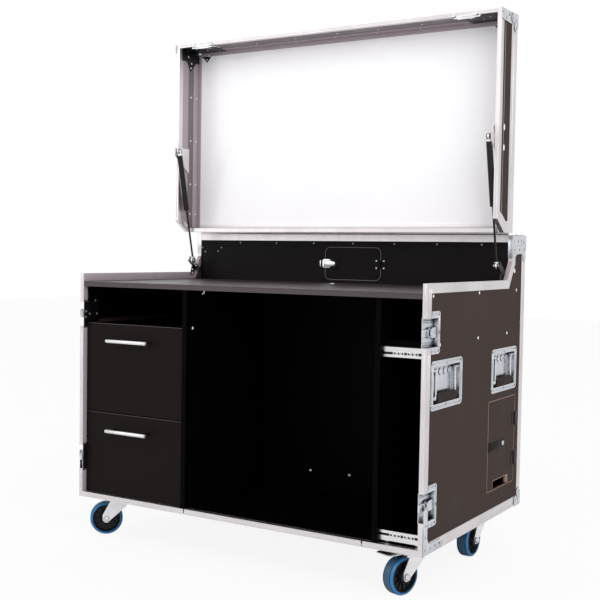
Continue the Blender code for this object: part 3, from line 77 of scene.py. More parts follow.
class RoadCaseColours(bpy.types.PropertyGroup):
    """The colours of the case's finishes."""

    aluminium: colour_property("Aluminium", "Edge extrusions", (0.8, 0.76, 0.77))
    zinc: colour_property("Zinc plate", "Dishes, latches and ball corners", (0.74, 0.76, 0.8))
    panel: colour_property("Panel", "Laminated side, rear and lid panels", (0.04, 0.026, 0.023))
    board: colour_property("Black board", "Drawer fronts", (0.008, 0.0048, 0.004))
    worktop: colour_property("Worktop", "Laminate of the worktop", (0.042, 0.027, 0.032))
    writing: colour_property("Writing board", "Gloss board inside the lid", (0.985, 0.975, 0.995))
    tyre: colour_property("Tyre", "Elastic rubber of the castors", (0.012, 0.17, 0.42))
    hub: colour_property("Hub", "Moulded castor hubs", (0.006, 0.006, 0.007))
    plywood: colour_property("Plywood", "Bare edges of the doors' openings", (0.36, 0.235, 0.17))
    service: colour_property("Service panel", "Panel and hatch behind the worktop", (0.006, 0.0046, 0.0054))
    # Partly painted reflection: besides the pale metal strips and inner faces, this colour paints the writing
    # board's reflection on the lid's glossy black side walls.
    liner: colour_property("Liner", "Lilac-grey strips inside the lid", (0.4, 0.33, 0.37))
    # Painted shade: the lilac-grey darkened to 0.42, for the strips beside the pale ones in the lid.
    band: colour_property("Band", "Mauve bands beside the strips", (0.168, 0.1386, 0.1554))
    # Painted shade: near black, for the shade inside the compartments.
    inner: colour_property("Inner walls", "Unlit walls inside the compartments", (0.0007, 0.0006, 0.0006))
    fork: colour_property("Castor fork", "Pale plated castor forks", (0.95, 0.94, 0.96))
    rubber: colour_property("Grip rubber", "Ribbed grips of the side handles", (0.026, 0.0165, 0.0155))
    bolt_head: colour_property("Bolt head", "Pale plated bolt heads", (0.85, 0.86, 0.86))


class RoadCaseSizes(bpy.types.PropertyGroup):
    """Sizes that several fittings share."""

    rivet_height: length_property("Rivet height", "How far a rivet's head stands out", 0.0016)
    rivet_hollow: length_property("Rivet hollow", "Depth of the dimple in a rivet's head", 0.0006)
    edge_rib_radius: length_property("Edge rib", "Half the width of a rib on the edge sections", 0.001)
    grip_radius: length_property("Grip radius", "Rubber sleeve on a handle, between its ribs", 0.0081)
    grip_length: length_property("Grip length", "Rubber sleeve on a handle, end to end", 0.1235)
    hub_ribs: bpy.props.IntProperty(name="Hub ribs", description="Ribs of a castor's hub", default=12, min=0)


class RoadCaseStudio(bpy.types.PropertyGroup):
    """Where the camera stands and how the case is lit."""

    camera_place: bpy.props.FloatVectorProperty(
        name="Camera place", description="Camera position", default=(1.6509, -2.7883, 0.8819), unit="LENGTH"
    )
    yaw: number_property("Yaw", "Turn to the left", math.radians(33.1), "ROTATION")
    pitch: number_property("Pitch", "Tilt downwards", math.radians(2.6), "ROTATION")
    roll: number_property("Roll", "Roll about the view", math.radians(0.8), "ROTATION")
    lens: number_property("Lens", "Focal length on a 36 mm sensor", 63.94)
    shift_x: number_property("Shift", "Sideways shift of the view", 0.0833)
    key_power: number_property("Key power", "Large lamp at the right", 60.0, "POWER")
    fill_power: number_property("Fill power", "Large lamp at the left", 24.0, "POWER")
    board_power: number_property("Board power", "Soft lamp before the lid", 7.5, "POWER")
    sky: number_property("Sky", "Strength of the even light all round", 0.85)


def sizes():
    return bpy.context.scene.road_case_sizes


def deselect_all():
    if bpy.context.mode != "OBJECT":
        bpy.ops.object.mode_set(mode="OBJECT")
    bpy.ops.object.select_all(action="DESELECT")


def make_active(obj):
    deselect_all()
    obj.select_set(True)
    bpy.context.view_layer.objects.active = obj


def applied(obj):
    """Puts the object's place, turn and scale into its mesh."""
    make_active(obj)
    bpy.ops.object.transform_apply(location=True, rotation=True, scale=True)
    return obj


def softened(obj, width, segments=2, angle=40.0):
    """Bevels the object's sharp edges, where there is a width."""
    if width <= 0.0:
        return obj
    make_active(obj)
    modifier = obj.modifiers.new("soft", "BEVEL")
    modifier.width = width
    modifier.segments = segments
    modifier.limit_method = "ANGLE"
    modifier.angle_limit = math.radians(angle)
    bpy.ops.object.modifier_apply(modifier=modifier.name)
    return obj


def box_piece(low, high, bevel=0.0006, segments=2):
    """A box between two corners with its edges eased."""
    deselect_all()
    low, high = (Vector([pick(a, b) for a, b in zip(low, high)]) for pick in (min, max))
    bpy.ops.mesh.primitive_cube_add(size=1.0, location=(low + high) / 2)
    obj = bpy.context.active_object
    obj.scale = high - low
    return softened(applied(obj), bevel, segments)


AXIS_TURNS = {"X": (0.0, math.pi / 2, 0.0), "Y": (-math.pi / 2, 0.0, 0.0), "Z": (0.0, 0.0, 0.0)}


def round_piece(centre, radius, length, axis, bevel=0.0006, vertices=32):
    """A round bar about its centre, along one axis, with its ends eased."""
    deselect_all()
    bpy.ops.mesh.primitive_cylinder_add(
        vertices=vertices, radius=radius, depth=length, location=centre, rotation=AXIS_TURNS[axis]
    )
    return softened(applied(bpy.context.active_object), bevel, 2, 60.0)


# The radius, height and hollow of the heads that aren't plain rivets.
GRIP_CAP = (0.0048, 0.0035, 0.0004)
DIMPLE = (0.0095, 0.0022, 0.0008)
FLAT_RIVET = (0.0034, 0.0014, 0.0005)
WALL_BOLT = (0.0062, 0.0028, 0.001)
LID_BOLT = (0.0062, 0.003, 0.001)
HINGE_SCREW = (0.0026, 0.0008, 0.0005)
HATCH_DOT = (0.0026, 0.0012, 0.0005)
STRUT_BOLT = (0.005, 0.003, 0.001)
PLATE_BOLT = (0.0034, 0.0018, 0.0006)
BRACE_RIVET = (0.003, 0.0014, 0.0005)
WORKTOP_STUD = (0.008, 0.0022, 0.001)
AXLE_NUT = (0.0095, 0.0065, 0.0015)


def head_piece(radius, height, hollow, vertices=14):
    """A low round head on the origin, facing +Z, with a dimple in its middle."""
    deselect_all()
    middle = (0.0, 0.0, height / 2)
    bpy.ops.mesh.primitive_cylinder_add(vertices=vertices, radius=radius, depth=height, location=middle)
    obj = applied(bpy.context.active_object)
    softened(obj, height * 0.55, 2, 60.0)
    bpy.ops.object.mode_set(mode="EDIT")
    work = bmesh.from_edit_mesh(obj.data)
    top = max(work.faces, key=lambda face: face.calc_center_median().z)
    for face in work.faces:
        face.select = face is top
    bmesh.update_edit_mesh(obj.data)
    bpy.ops.mesh.inset(thickness=radius * 0.18, depth=0.0)
    bpy.ops.mesh.inset(thickness=radius * 0.08, depth=-hollow)
    bpy.ops.object.mode_set(mode="OBJECT")
    return obj


FACINGS = {
    "+X": Matrix.Rotation(math.pi / 2, 4, "Y"),
    "-X": Matrix.Rotation(-math.pi / 2, 4, "Y"),
    "+Y": Matrix.Rotation(-math.pi / 2, 4, "X"),
    "-Y": Matrix.Rotation(math.pi / 2, 4, "X"),
    "+Z": Matrix.Identity(4),
    "-Z": Matrix.Rotation(math.pi, 4, "X"),
}


def copies_at(master, places):
    """Copies a piece drawn on the origin to each (place, facing), and joins the copies."""
    made = []
    for place, facing in places:
        copy = bpy.data.objects.new(master.name, master.data.copy())
        bpy.context.scene.collection.objects.link(copy)
        copy.data.transform(Matrix.Translation(place) @ FACINGS[facing])
        made.append(copy)
    bpy.data.objects.remove(master, do_unlink=True)
    return joined(made)


def joined(objects):
    deselect_all()
    for obj in objects:
        obj.select_set(True)
    bpy.context.view_layer.objects.active = objects[0]
    if len(objects) > 1:
        bpy.ops.object.join()
    return bpy.context.view_layer.objects.active


CASE_PLACE = Vector((0.014, -0.35, 0.0))
# Distances from the case's middle plane: its outside, the plates on its edge sections, its side
# panels, and the inner face of its edge sections. SERVICE_Y is the service panel's face.
CASE_HALF = 0.57
PLATE_X = 0.5708
SKIN = 0.5682
WELL_IN = 0.5573
SERVICE_Y = 0.6098


def at(x, y, z):
    """A point given from the case's middle plane, its front face and the floor."""
    return CASE_PLACE + Vector((x, y, z))


def slab(one, other, bevel=0.0003):
    """A box between two opposite corners that are at(...) points."""
    return box_piece(at(*one), at(*other), bevel)


def plate_piece(corners, across, bevel=0.0003):
    """A flat plate from its corners, which are at(...) points, drawn out by the shift across."""
    deselect_all()
    mesh = bpy.data.meshes.new("plate")
    mesh.from_pydata([at(*corner) for corner in corners], [], [tuple(range(len(corners)))])
    obj = bpy.data.objects.new("plate", mesh)
    bpy.context.scene.collection.objects.link(obj)
    make_active(obj)
    bpy.ops.object.mode_set(mode="EDIT")
    bpy.ops.mesh.select_all(action="SELECT")
    bpy.ops.mesh.extrude_region_move(TRANSFORM_OT_translate={"value": across})
    bpy.ops.mesh.select_all(action="SELECT")
    bpy.ops.mesh.normals_make_consistent(inside=False)
    bpy.ops.object.mode_set(mode="OBJECT")
    return softened(obj, bevel, 2)


def cut_from(obj, cutter):
    """Takes the cutter's shape out of a piece."""
    make_active(obj)
    modifier = obj.modifiers.new("cut", "BOOLEAN")
    modifier.operation = "DIFFERENCE"
    modifier.solver = "EXACT"
    modifier.object = cutter
    bpy.ops.object.modifier_apply(modifier=modifier.name)
    bpy.data.objects.remove(cutter, do_unlink=True)
    return obj


def side_plate(x, outline, thick, bevel=0.0003):
    """A plate along a side wall: its outline has (y, z) corners at x, and its thickness is signed."""
    return plate_piece([(x, y, z) for y, z in outline], (thick, 0.0, 0.0), bevel)


def rounded_plate(low, high, radius, across, bevel=0.0003):
    """A plate across one axis with round corners. low and high share that axis."""
    axis = max(range(3), key=lambda index: abs(across[index]))
    first, second = (index for index in range(3) if index != axis)
    corners = []
    for quarter, (a, b) in enumerate(((1, 1), (0, 1), (0, 0), (1, 0))):
        ends = (low, high)
        middle_a = ends[a][first] + (-radius if a else radius)
        middle_b = ends[b][second] + (-radius if b else radius)
        for step in range(5):
            angle = math.pi / 2 * (quarter + step / 4)
            corner = [low[axis]] * 3
            corner[first] = middle_a + radius * math.cos(angle)
            corner[second] = middle_b + radius * math.sin(angle)
            corners.append(corner)
    return plate_piece(corners, across, bevel)


def heads(size, places, stretch=1.0):
    """Low round heads at (place, facing) pairs. On a side wall, stretch makes them taller than wide."""
    master = head_piece(*size)
    master.data.transform(Matrix.Diagonal((stretch, 1.0, 1.0, 1.0)))
    return copies_at(master, [(at(*place), facing) for place, facing in places])


def rivets(radius, places, stretch=1.0):
    """Heads of the common height and hollow."""
    return heads((radius, sizes().rivet_height, sizes().rivet_hollow), places, stretch)


def spots_at(x, facing, spots):
    """Places on a side wall at x, from their (y, z) pairs."""
    return [((x, y, z), facing) for y, z in spots]


def beads(lines, radius):
    """Half-round ribs along straight lines that run with an axis."""
    made = []
    for low, high in lines:
        axis = max(range(3), key=lambda index: abs(high[index] - low[index]))
        middle = (Vector(low) + Vector(high)) / 2
        length = abs(high[axis] - low[axis])
        made.append(round_piece(at(*middle), radius, length, "XYZ"[axis], radius * 0.6, 10))
    return joined(made)


def finished(obj, name, body, finish):
    """Names a piece, or the pieces it is joined from, gives it its finish and lets it ride on its body."""
    if isinstance(obj, list):
        obj = joined(obj)
    obj.name = name
    obj.data.name = name
    make_active(obj)
    bpy.ops.object.shade_smooth_by_angle(angle=math.radians(40))
    obj.data.materials.clear()
    obj.data.materials.append(FINISHES[finish])
    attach(obj, body)


class Shader:
    """A material's node tree, with short ways to add and join nodes."""

    def __init__(self, name, metallic=0.0, roughness=0.5):
        self.material = bpy.data.materials.new(name)
        self.material.use_nodes = True
        self.tree = self.material.node_tree
        self.surface = self.tree.nodes["Principled BSDF"]
        self.surface.inputs["Metallic"].default_value = metallic
        self.surface.inputs["Roughness"].default_value = roughness
        self.coordinates = self.tree.nodes.new("ShaderNodeTexCoord").outputs["Object"]

    def node(self, kind, settings=None, **sockets):
        made = self.tree.nodes.new(kind)
        for key, value in (settings or {}).items():
            setattr(made, key, value)
        for key, value in sockets.items():
            self.put(made.inputs[key.replace("_", " ")], value)
        return made

    def put(self, socket, value):
        if isinstance(value, bpy.types.NodeSocket):
            self.tree.links.new(value, socket)
        else:
            socket.default_value = value

    def stretched(self, scale):
        return self.node("ShaderNodeMapping", Vector=self.coordinates, Scale=scale).outputs["Vector"]

    def noise(self, scale, detail=3.0, stretch=(1.0, 1.0, 1.0), roughness=0.55):
        made = self.node(
            "ShaderNodeTexNoise",
            Vector=self.stretched(stretch),
            Scale=scale,
            Detail=detail,
            Roughness=roughness,
        )
        return made.outputs["Fac"]

    def ranged(self, value, low, high, out_low, out_high):
        made = self.node("ShaderNodeMapRange", Value=value)
        for key, number in zip(("From Min", "From Max", "To Min", "To Max"), (low, high, out_low, out_high)):
            made.inputs[key].default_value = number
        return made.outputs["Result"]

    def mixed(self, factor, first, second):
        made = self.tree.nodes.new("ShaderNodeMix")
        made.data_type = "RGBA"
        self.put(made.inputs["Factor"], factor)
        self.put(made.inputs["A"], first if isinstance(first, bpy.types.NodeSocket) else (*first, 1.0))
        self.put(made.inputs["B"], second if isinstance(second, bpy.types.NodeSocket) else (*second, 1.0))
        return made.outputs["Result"]

    def bump(self, height, strength, distance):
        made = self.node("ShaderNodeBump", Height=height, Strength=strength, Distance=distance)
        self.put(self.surface.inputs["Normal"], made.outputs["Normal"])

    def colour(self, value):
        self.put(self.surface.inputs["Base Color"], value)

    def rough(self, value):
        self.put(self.surface.inputs["Roughness"], value)


def tinted(colour, factor):
    return tuple(min(1.0, part * factor) for part in colour)


def metal_finish(name, colour, roughness, streak, spread=0.1, shade_reach=0.0):
    """Plated or mill-finished metal with fine drawn streaks, dull patches, small scuffs, and painted shade:
    ambient occlusion darkens its colour in hollows and recesses.
    """
    shader = Shader(name, metallic=1.0)
    grain = shader.noise(90.0, 4.0, streak)
    patches = shader.noise(9.0, 3.0)
    scuffs = shader.noise(240.0, 2.0, (1.0, 0.25, 1.0))
    plate = shader.mixed(shader.ranged(patches, 0.35, 0.7, 0.0, 1.0), colour, tinted(colour, 0.88))
    # Painted shade: ambient occlusion darkens the colour towards a dark blue-grey in hollows and recesses.
    if shade_reach > 0.0:
        occlusion_shade = shader.node("ShaderNodeAmbientOcclusion", {"samples": 8}, Distance=shade_reach)
        depth = shader.ranged(occlusion_shade.outputs["AO"], 0.25, 0.85, 1.0, 0.0)
        plate = shader.mixed(depth, plate, (0.03, 0.05, 0.06))
    shader.colour(plate)
    base = shader.ranged(grain, 0.3, 0.7, roughness - spread / 2, roughness + spread / 2)
    dull = shader.ranged(scuffs, 0.62, 0.72, 0.0, spread)
    total = shader.node("ShaderNodeMath", {"operation": "ADD"})
    shader.put(total.inputs[0], base)
    shader.put(total.inputs[1], dull)
    shader.rough(total.outputs[0])
    shader.bump(grain, 0.15, 0.0003)
    return shader.material


def board_finish(name, colour, roughness, pebble, scale, sheen=0.08):
    """Black laminate: a fine pebbled skin with faint rubbed patches."""
    shader = Shader(name)
    cells = shader.node("ShaderNodeTexVoronoi", Vector=shader.coordinates, Scale=scale).outputs["Distance"]
    rubbed = shader.noise(6.0, 4.0)
    dust = shader.noise(420.0, 2.0)
    lighter = shader.mixed(shader.ranged(rubbed, 0.45, 0.8, 0.0, 0.5), colour, tinted(colour, 1.35))
    shader.colour(shader.mixed(shader.ranged(dust, 0.66, 0.75, 0.0, 0.25), lighter, tinted(colour, 2.2)))
    shader.rough(shader.ranged(rubbed, 0.3, 0.7, roughness - 0.06, roughness + 0.06))
    shader.surface.inputs["Specular IOR Level"].default_value = sheen
    shader.bump(cells, pebble, 0.0004)
    return shader.material


def gloss_finish(name, colour, roughness, ripple=0.03, sheen=0.5):
    """A smooth painted or plastic surface with a faint ripple."""
    shader = Shader(name)
    shader.surface.inputs["Specular IOR Level"].default_value = sheen
    wave = shader.noise(14.0, 2.0)
    shader.colour(shader.mixed(shader.ranged(wave, 0.3, 0.7, 0.0, 1.0), colour, tinted(colour, 0.985)))
    shader.rough(shader.ranged(wave, 0.3, 0.7, roughness * 0.8, roughness * 1.2))
    shader.bump(wave, ripple, 0.0006)
    return shader.material


def rubber_finish(name, colour, roughness, sheen=0.5):
    """Rubber or bare board with grime and a fine speckle."""
    shader = Shader(name)
    shader.surface.inputs["Specular IOR Level"].default_value = sheen
    grime = shader.noise(60.0, 4.0)
    speckle = shader.noise(500.0, 2.0)
    shader.colour(shader.mixed(shader.ranged(grime, 0.35, 0.75, 0.0, 0.6), colour, tinted(colour, 0.7)))
    shader.rough(shader.ranged(grime, 0.3, 0.7, roughness - 0.08, roughness + 0.08))
    shader.bump(speckle, 0.2, 0.0003)
    return shader.material


FINISHES = {}
EVEN = (1.0, 1.0, 1.0)
# Each row: what makes the finish, its material's name, its colour, and what else its maker takes.
# A colour given as a word is one of the colours on the panel.
FINISH_ROWS = {
    "aluminium": (metal_finish, "aluminium_edge", "aluminium", 0.36, (1.0, 1.0, 0.06)),
    # Painted shade: the last number of the zinc and wing rows is how far the painted shade in hollows
    # reaches.
    "zinc": (metal_finish, "zinc_plate", "zinc", 0.27, EVEN, 0.14, 0.016),
    # Painted shade: a darker copy of the zinc, given to the left latch wings.
    "wing": (metal_finish, "wing_zinc", (0.3, 0.33, 0.38), 0.34, EVEN, 0.14, 0.012),
    "steel": (metal_finish, "bright_steel", (0.83, 0.83, 0.84), 0.28, (0.05, 1.0, 1.0)),
    "panel": (board_finish, "laminated_panel", "panel", 0.6, 0.3, 900.0),
    "board": (board_finish, "black_board", "board", 0.5, 0.12, 700.0),
    "service": (board_finish, "service_board", "service", 0.42, 0.1, 700.0),
    # Partly painted reflection: the pale metal strips and inner faces, and the writing board's reflection on
    # the lid's glossy black walls.
    "liner": (gloss_finish, "lilac_liner", "liner", 0.45),
    # Painted shade: a darker copy of the lilac-grey.
    "band": (gloss_finish, "mauve_band", "band", 0.5),
    "worktop": (board_finish, "worktop_laminate", "worktop", 0.36, 0.05, 1200.0, 0.6),
    "writing": (gloss_finish, "writing_board", "writing", 0.16),
    "tube": (gloss_finish, "strut_black", (0.007, 0.006, 0.0066), 0.34, 0.03, 0.3),
    "tyre": (rubber_finish, "blue_tyre", "tyre", 0.3),
    "tread": (rubber_finish, "worn_tread", (0.03, 0.085, 0.15), 0.42),
    "hub": (rubber_finish, "black_hub", "hub", 0.4, 0.25),
    "rubber": (rubber_finish, "grip_rubber", "rubber", 0.62, 0.12),
    "bolt": (metal_finish, "bolt_head", "bolt_head", 0.3, EVEN),
    "dull": (gloss_finish, "dull_head", (0.22, 0.2, 0.2), 0.4),
    "pale": (gloss_finish, "pale_head", (0.8, 0.8, 0.79), 0.35),
    "plywood": (rubber_finish, "plywood_edge", "plywood", 0.6),
    # Painted shade: near black, for the shade inside the compartments.
    "inner": (board_finish, "inner_board", "inner", 0.5, 0.1, 700.0, 0.03),
    "fork": (metal_finish, "castor_zinc", "fork", 0.42, EVEN, 0.14),
    "hinge": (gloss_finish, "black_hinge", (0.004, 0.004, 0.005), 0.35, 0.03, 0.25),
}
NODE_FINISHES = {
    "aluminium": ("left_edge_frame", "right_edge_frame", "body_edge_frame", "lid_edge_frame"),
    "panel": (
        "left_side_panel", "right_side_panel", "back_panel", "rear_top_panel", "access_door", "lid_shell",
    ),
    "board": ("upper_drawer", "lower_drawer"),
    "service": ("service_panel", "hatch_door"),
    # Painted shade: the base and walls inside the compartments take the near-black finish.
    "inner": ("base_panel", "compartment_wall", "left_partition", "right_partition"),
    "worktop": ("worktop",),
    "writing": ("whiteboard",),
    "steel": ("top_rack_rail", "bottom_rack_rail"),
    "hinge": ("hatch_latch",),
    "zinc": ("front_right_brake_pedal", "right_upper_latch_wing", "right_lower_latch_wing"),
    # Painted shade: the left latch wings take the darker copy of the zinc.
    "wing": ("left_upper_latch_wing", "left_lower_latch_wing"),
}
SIDE_ZINC = ("front_handle_dish", "front_bail", "rear_handle_dish", "rear_bail")
SIDE_ZINC += ("upper_latch_hook", "upper_latch_cam", "lower_latch_hook", "lower_latch_cam")


def assign(finish, names):
    """Gives CAD nodes a finish in place of their plain one."""
    for name in names:
        materials = NODES[name].data.materials
        materials.clear()
        materials.append(FINISHES[finish])


class ROADCASE_OT_finishes(bpy.types.Operator):
    """Make every finish and give it to the solids that keep their shape"""

    bl_idname = "roadcase.finishes"
    bl_label = "Finishes"

    def execute(self, context):
        paint = context.scene.road_case_colours
        for key, (make, name, colour, *rest) in FINISH_ROWS.items():
            if isinstance(colour, str):
                colour = tuple(getattr(paint, colour))
            FINISHES[key] = make(name, colour, *rest)
        for finish, names in NODE_FINISHES.items():
            assign(finish, names)
        for side, _ in SIDES:
            assign("tube", [f"{side}_strut_tube", f"{side}_strut_rod"])
            assign("zinc", [f"{side}_{part}" for part in SIDE_ZINC])
        for castor in CASTORS:
            assign("fork", [f"{castor}_castor_plate", f"{castor}_castor_fork"])
        return {"FINISHED"}


RIM_BAND = 0.004
RIM_FROM = 0.046


def wheel_frame(castor):
    """The wheel's middle and the direction of its axle, from the points of its rim at axle height."""
    node = NODES[f"{castor}_castor_wheel"]
    low, high = (Vector(corner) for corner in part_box(node.name))
    middle = (low + high) / 2
    rim = [v.co - middle for v in node.data.vertices]
    flat = [v for v in rim if abs(v.z) < RIM_BAND and v.length > RIM_FROM]
    across = max(flat, key=lambda v: v.length)
    forward = Vector((across.x, across.y, 0.0))
    forward = sum((v if v.dot(forward) > 0 else -v for v in flat), Vector())
    forward.z = 0.0
    forward.normalize()
    axle = forward.cross(Vector((0.0, 0.0, 1.0)))
    turn = Matrix((axle, forward, Vector((0.0, 0.0, 1.0)))).transposed().to_4x4()
    return Matrix.Translation(middle) @ turn


def ring_from(outline, steps=64):
    """Spins an outline of (radius, x) pairs about the X axis into a closed ring."""
    deselect_all()
    mesh = bpy.data.meshes.new("ring")
    points = [(x, 0.0, radius) for radius, x in outline]
    edges = [(index, (index + 1) % len(points)) for index in range(len(points))]
    mesh.from_pydata(points, edges, [])
    obj = bpy.data.objects.new("ring", mesh)
    bpy.context.scene.collection.objects.link(obj)
    make_active(obj)
    bpy.ops.object.mode_set(mode="EDIT")
    bpy.ops.mesh.select_all(action="SELECT")
    bpy.ops.mesh.spin(steps=steps, angle=2 * math.pi, center=(0, 0, 0), axis=(1, 0, 0))
    bpy.ops.mesh.select_all(action="SELECT")
    bpy.ops.mesh.remove_doubles(threshold=0.00002)
    bpy.ops.mesh.normals_make_consistent(inside=False)
    bpy.ops.object.mode_set(mode="OBJECT")
    return obj


TYRE_OUTLINE = (
    (0.0418, -0.0165), (0.0432, -0.0178), (0.0456, -0.0172), (0.0482, -0.0148), (0.0494, -0.0105),
    (0.0499, -0.005), (0.05, 0.0), (0.0499, 0.005), (0.0494, 0.0105), (0.0482, 0.0148),
    (0.0456, 0.0172), (0.0432, 0.0178), (0.0418, 0.0165), (0.0395, 0.006), (0.0395, -0.006),
)
HUB_OUTLINE = (
    (0.0422, -0.0168), (0.0392, -0.0174), (0.0378, -0.015), (0.036, -0.0095), (0.019, -0.0085),
    (0.0165, -0.0205), (0.014, -0.0218), (0.0065, -0.0218), (0.0065, 0.0218), (0.014, 0.0218),
    (0.0165, 0.0205), (0.019, 0.0085), (0.036, 0.0095), (0.0378, 0.015), (0.0392, 0.0174),
    (0.0422, 0.0168),
)
TREAD_OUTLINE = ((0.049, -0.0106), (0.05, -0.0104), (0.05, 0.0104), (0.049, 0.0106))
# Painted shade: thin black rings, slightly proud of the tyre, stand for the shade in the grooves at the
# tread's shoulders.
SHADE_RING_OUTLINE = ((0.0485, -0.0007), (0.0497, -0.0005), (0.0497, 0.0005), (0.0485, 0.0007))
SHADE_RING_X = 0.0112
HUB_RIB = ((-0.015, -0.0012, 0.015), (0.013, 0.0012, 0.037))
AXLE_NUT_X = 0.0252


class ROADCASE_OT_castors(bpy.types.Operator):
    """Make the blue tyres and the ribbed hubs of the castors"""

    bl_idname = "roadcase.castors"
    bl_label = "Castors"

    def execute(self, context):
        for castor in CASTORS:
            node = f"{castor}_castor_wheel"
            place = wheel_frame(castor)
            tyre = ring_from(TYRE_OUTLINE)
            tyre.data.transform(place)
            finished(tyre, f"{castor}_tyre", node, "tyre")
            hub = self.hub()
            tread = ring_from(TREAD_OUTLINE)
            tread.data.transform(place)
            finished(tread, f"{castor}_castor_tread", node, "tread")
            hub.data.transform(place)
            finished(hub, f"{castor}_hub", node, "hub")
            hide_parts(node)
            nuts = []
            for sign in (-1, 1):
                nut = head_piece(*AXLE_NUT, 6)
                nut.data.transform(Matrix.Translation((sign * AXLE_NUT_X, 0.0, 0.0)) @ FACINGS[OUTWARD[sign]])
                nuts.append(nut)
            nuts = joined(nuts)
            nuts.data.transform(place)
            finished(nuts, f"{castor}_axle_nuts", f"{castor}_castor_fork", "zinc")
        return {"FINISHED"}

    def hub(self):
        """A hub with ribs between its rim and its boss, and two black rings at the tyre's shoulders that
        paint the shade of its grooves.
        """
        parts = [ring_from(HUB_OUTLINE)]
        count = sizes().hub_ribs
        for index in range(count):
            rib = box_piece(*HUB_RIB, 0.0005)
            rib.data.transform(Matrix.Rotation(2 * math.pi * index / count, 4, "X"))
            parts.append(rib)
        # Painted shade: the two black rings at the tread's shoulders.
        for middle in (-SHADE_RING_X, SHADE_RING_X):
            parts.append(ring_from([(radius, middle + x) for radius, x in SHADE_RING_OUTLINE]))
        return joined(parts)


GRIP_TALL = 0.011
GRIP_THICK = 0.0078
GRIP_STEPS = 30
GRIP_CORE = 0.0036
GRIP_SWELL = 0.0009
GRIP_RIB = 0.0006
GRIP_CAP_Y = 0.0672


class ROADCASE_OT_handles(bpy.types.Operator):
    """Make the rubber grips of the four side handles and the raised ribs of their dishes"""

    bl_idname = "roadcase.handles"
    bl_label = "Handles"

    def execute(self, context):
        for side, sign in SIDES:
            for place in ("front", "rear"):
                bail = f"{side}_{place}_bail"
                low, high = (Vector(corner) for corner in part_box(bail))
                middle = Vector(((low.x + high.x) / 2, (low.y + high.y) / 2, low.z + GRIP_TALL))
                grip = ring_from(self.grip_outline(), 32)
                grip.data.transform(Matrix.Diagonal((1.0, 1.0, GRIP_TALL / GRIP_THICK, 1.0)))
                grip.data.transform(Matrix.Translation(middle) @ Matrix.Rotation(math.pi / 2, 4, "Z"))
                finished(grip, f"{side}_{place}_grip", bail, "rubber")
                middle -= CASE_PLACE
                cap = Vector((0.0, GRIP_CAP_Y, 0.0))
                ends = [(middle - cap, "-Y"), (middle + cap, "+Y")]
                finished(heads(GRIP_CAP, ends), f"{side}_{place}_grip_ends", bail, "pale")
                dress_dish(side, sign, place, middle.y)
        return {"FINISHED"}

    def grip_outline(self):
        """A sleeve that swells in its middle and has a raised rib at every other step."""
        long = sizes().grip_length
        outline = []
        for index in range(GRIP_STEPS + 1):
            y = -long / 2 + long * index / GRIP_STEPS
            swell = GRIP_SWELL * math.cos(math.pi * y / long)
            outline.append((sizes().grip_radius + swell + (GRIP_RIB if index % 2 else 0.0), y))
        return outline + [(GRIP_CORE, long / 2), (GRIP_CORE, -long / 2)]


DISH_Z = 0.55
DISH_HALF_LONG = 0.104
DISH_HALF_TALL = 0.063
DISH_ROUND = 0.016
DISH_RIVET_IN = 0.0085
DIMPLE_PITCH = 0.03


def dress_dish(side, sign, place, y):
    """Pressed ribs and rivets on a handle dish's flange, and four round dimples on its floor."""
    face = sign * (CASE_HALF + 0.0002)
    long = DISH_HALF_LONG - DISH_ROUND
    tall = DISH_HALF_TALL - DISH_ROUND
    ribs = []
    for edge in (-1, 1):
        z = DISH_Z + edge * (DISH_HALF_TALL - 0.0065)
        ribs.append(((face, y - long, z), (face, y + long, z)))
        over = y + edge * (DISH_HALF_LONG - 0.0075)
        ribs.append(((face, over, DISH_Z - tall), (face, over, DISH_Z + tall)))
    spots = []
    for across in (-1, 0, 1):
        for up in (-1, 1):
            z = DISH_Z + up * (DISH_HALF_TALL - DISH_RIVET_IN)
            spots.append((y + across * (DISH_HALF_LONG - DISH_RIVET_IN), z))
    rows = [(y + step * DIMPLE_PITCH, DISH_Z + 0.0305) for step in (-1.5, -0.5, 0.5, 1.5)]
    dimples = spots_at(sign * (CASE_HALF - 0.0135), OUTWARD[sign], rows)
    parts = [beads(ribs, 0.0016), rivets(0.0034, spots_at(face, OUTWARD[sign], spots))]
    parts.append(heads(DIMPLE, dimples))
    finished(parts, f"{side}_{place}_dish_ribs", "case", "zinc")


LATCH_HEIGHTS = {"upper": 0.685, "lower": 0.247}
LEG_WIDE = 0.0245
WELL_HALF = 0.0366


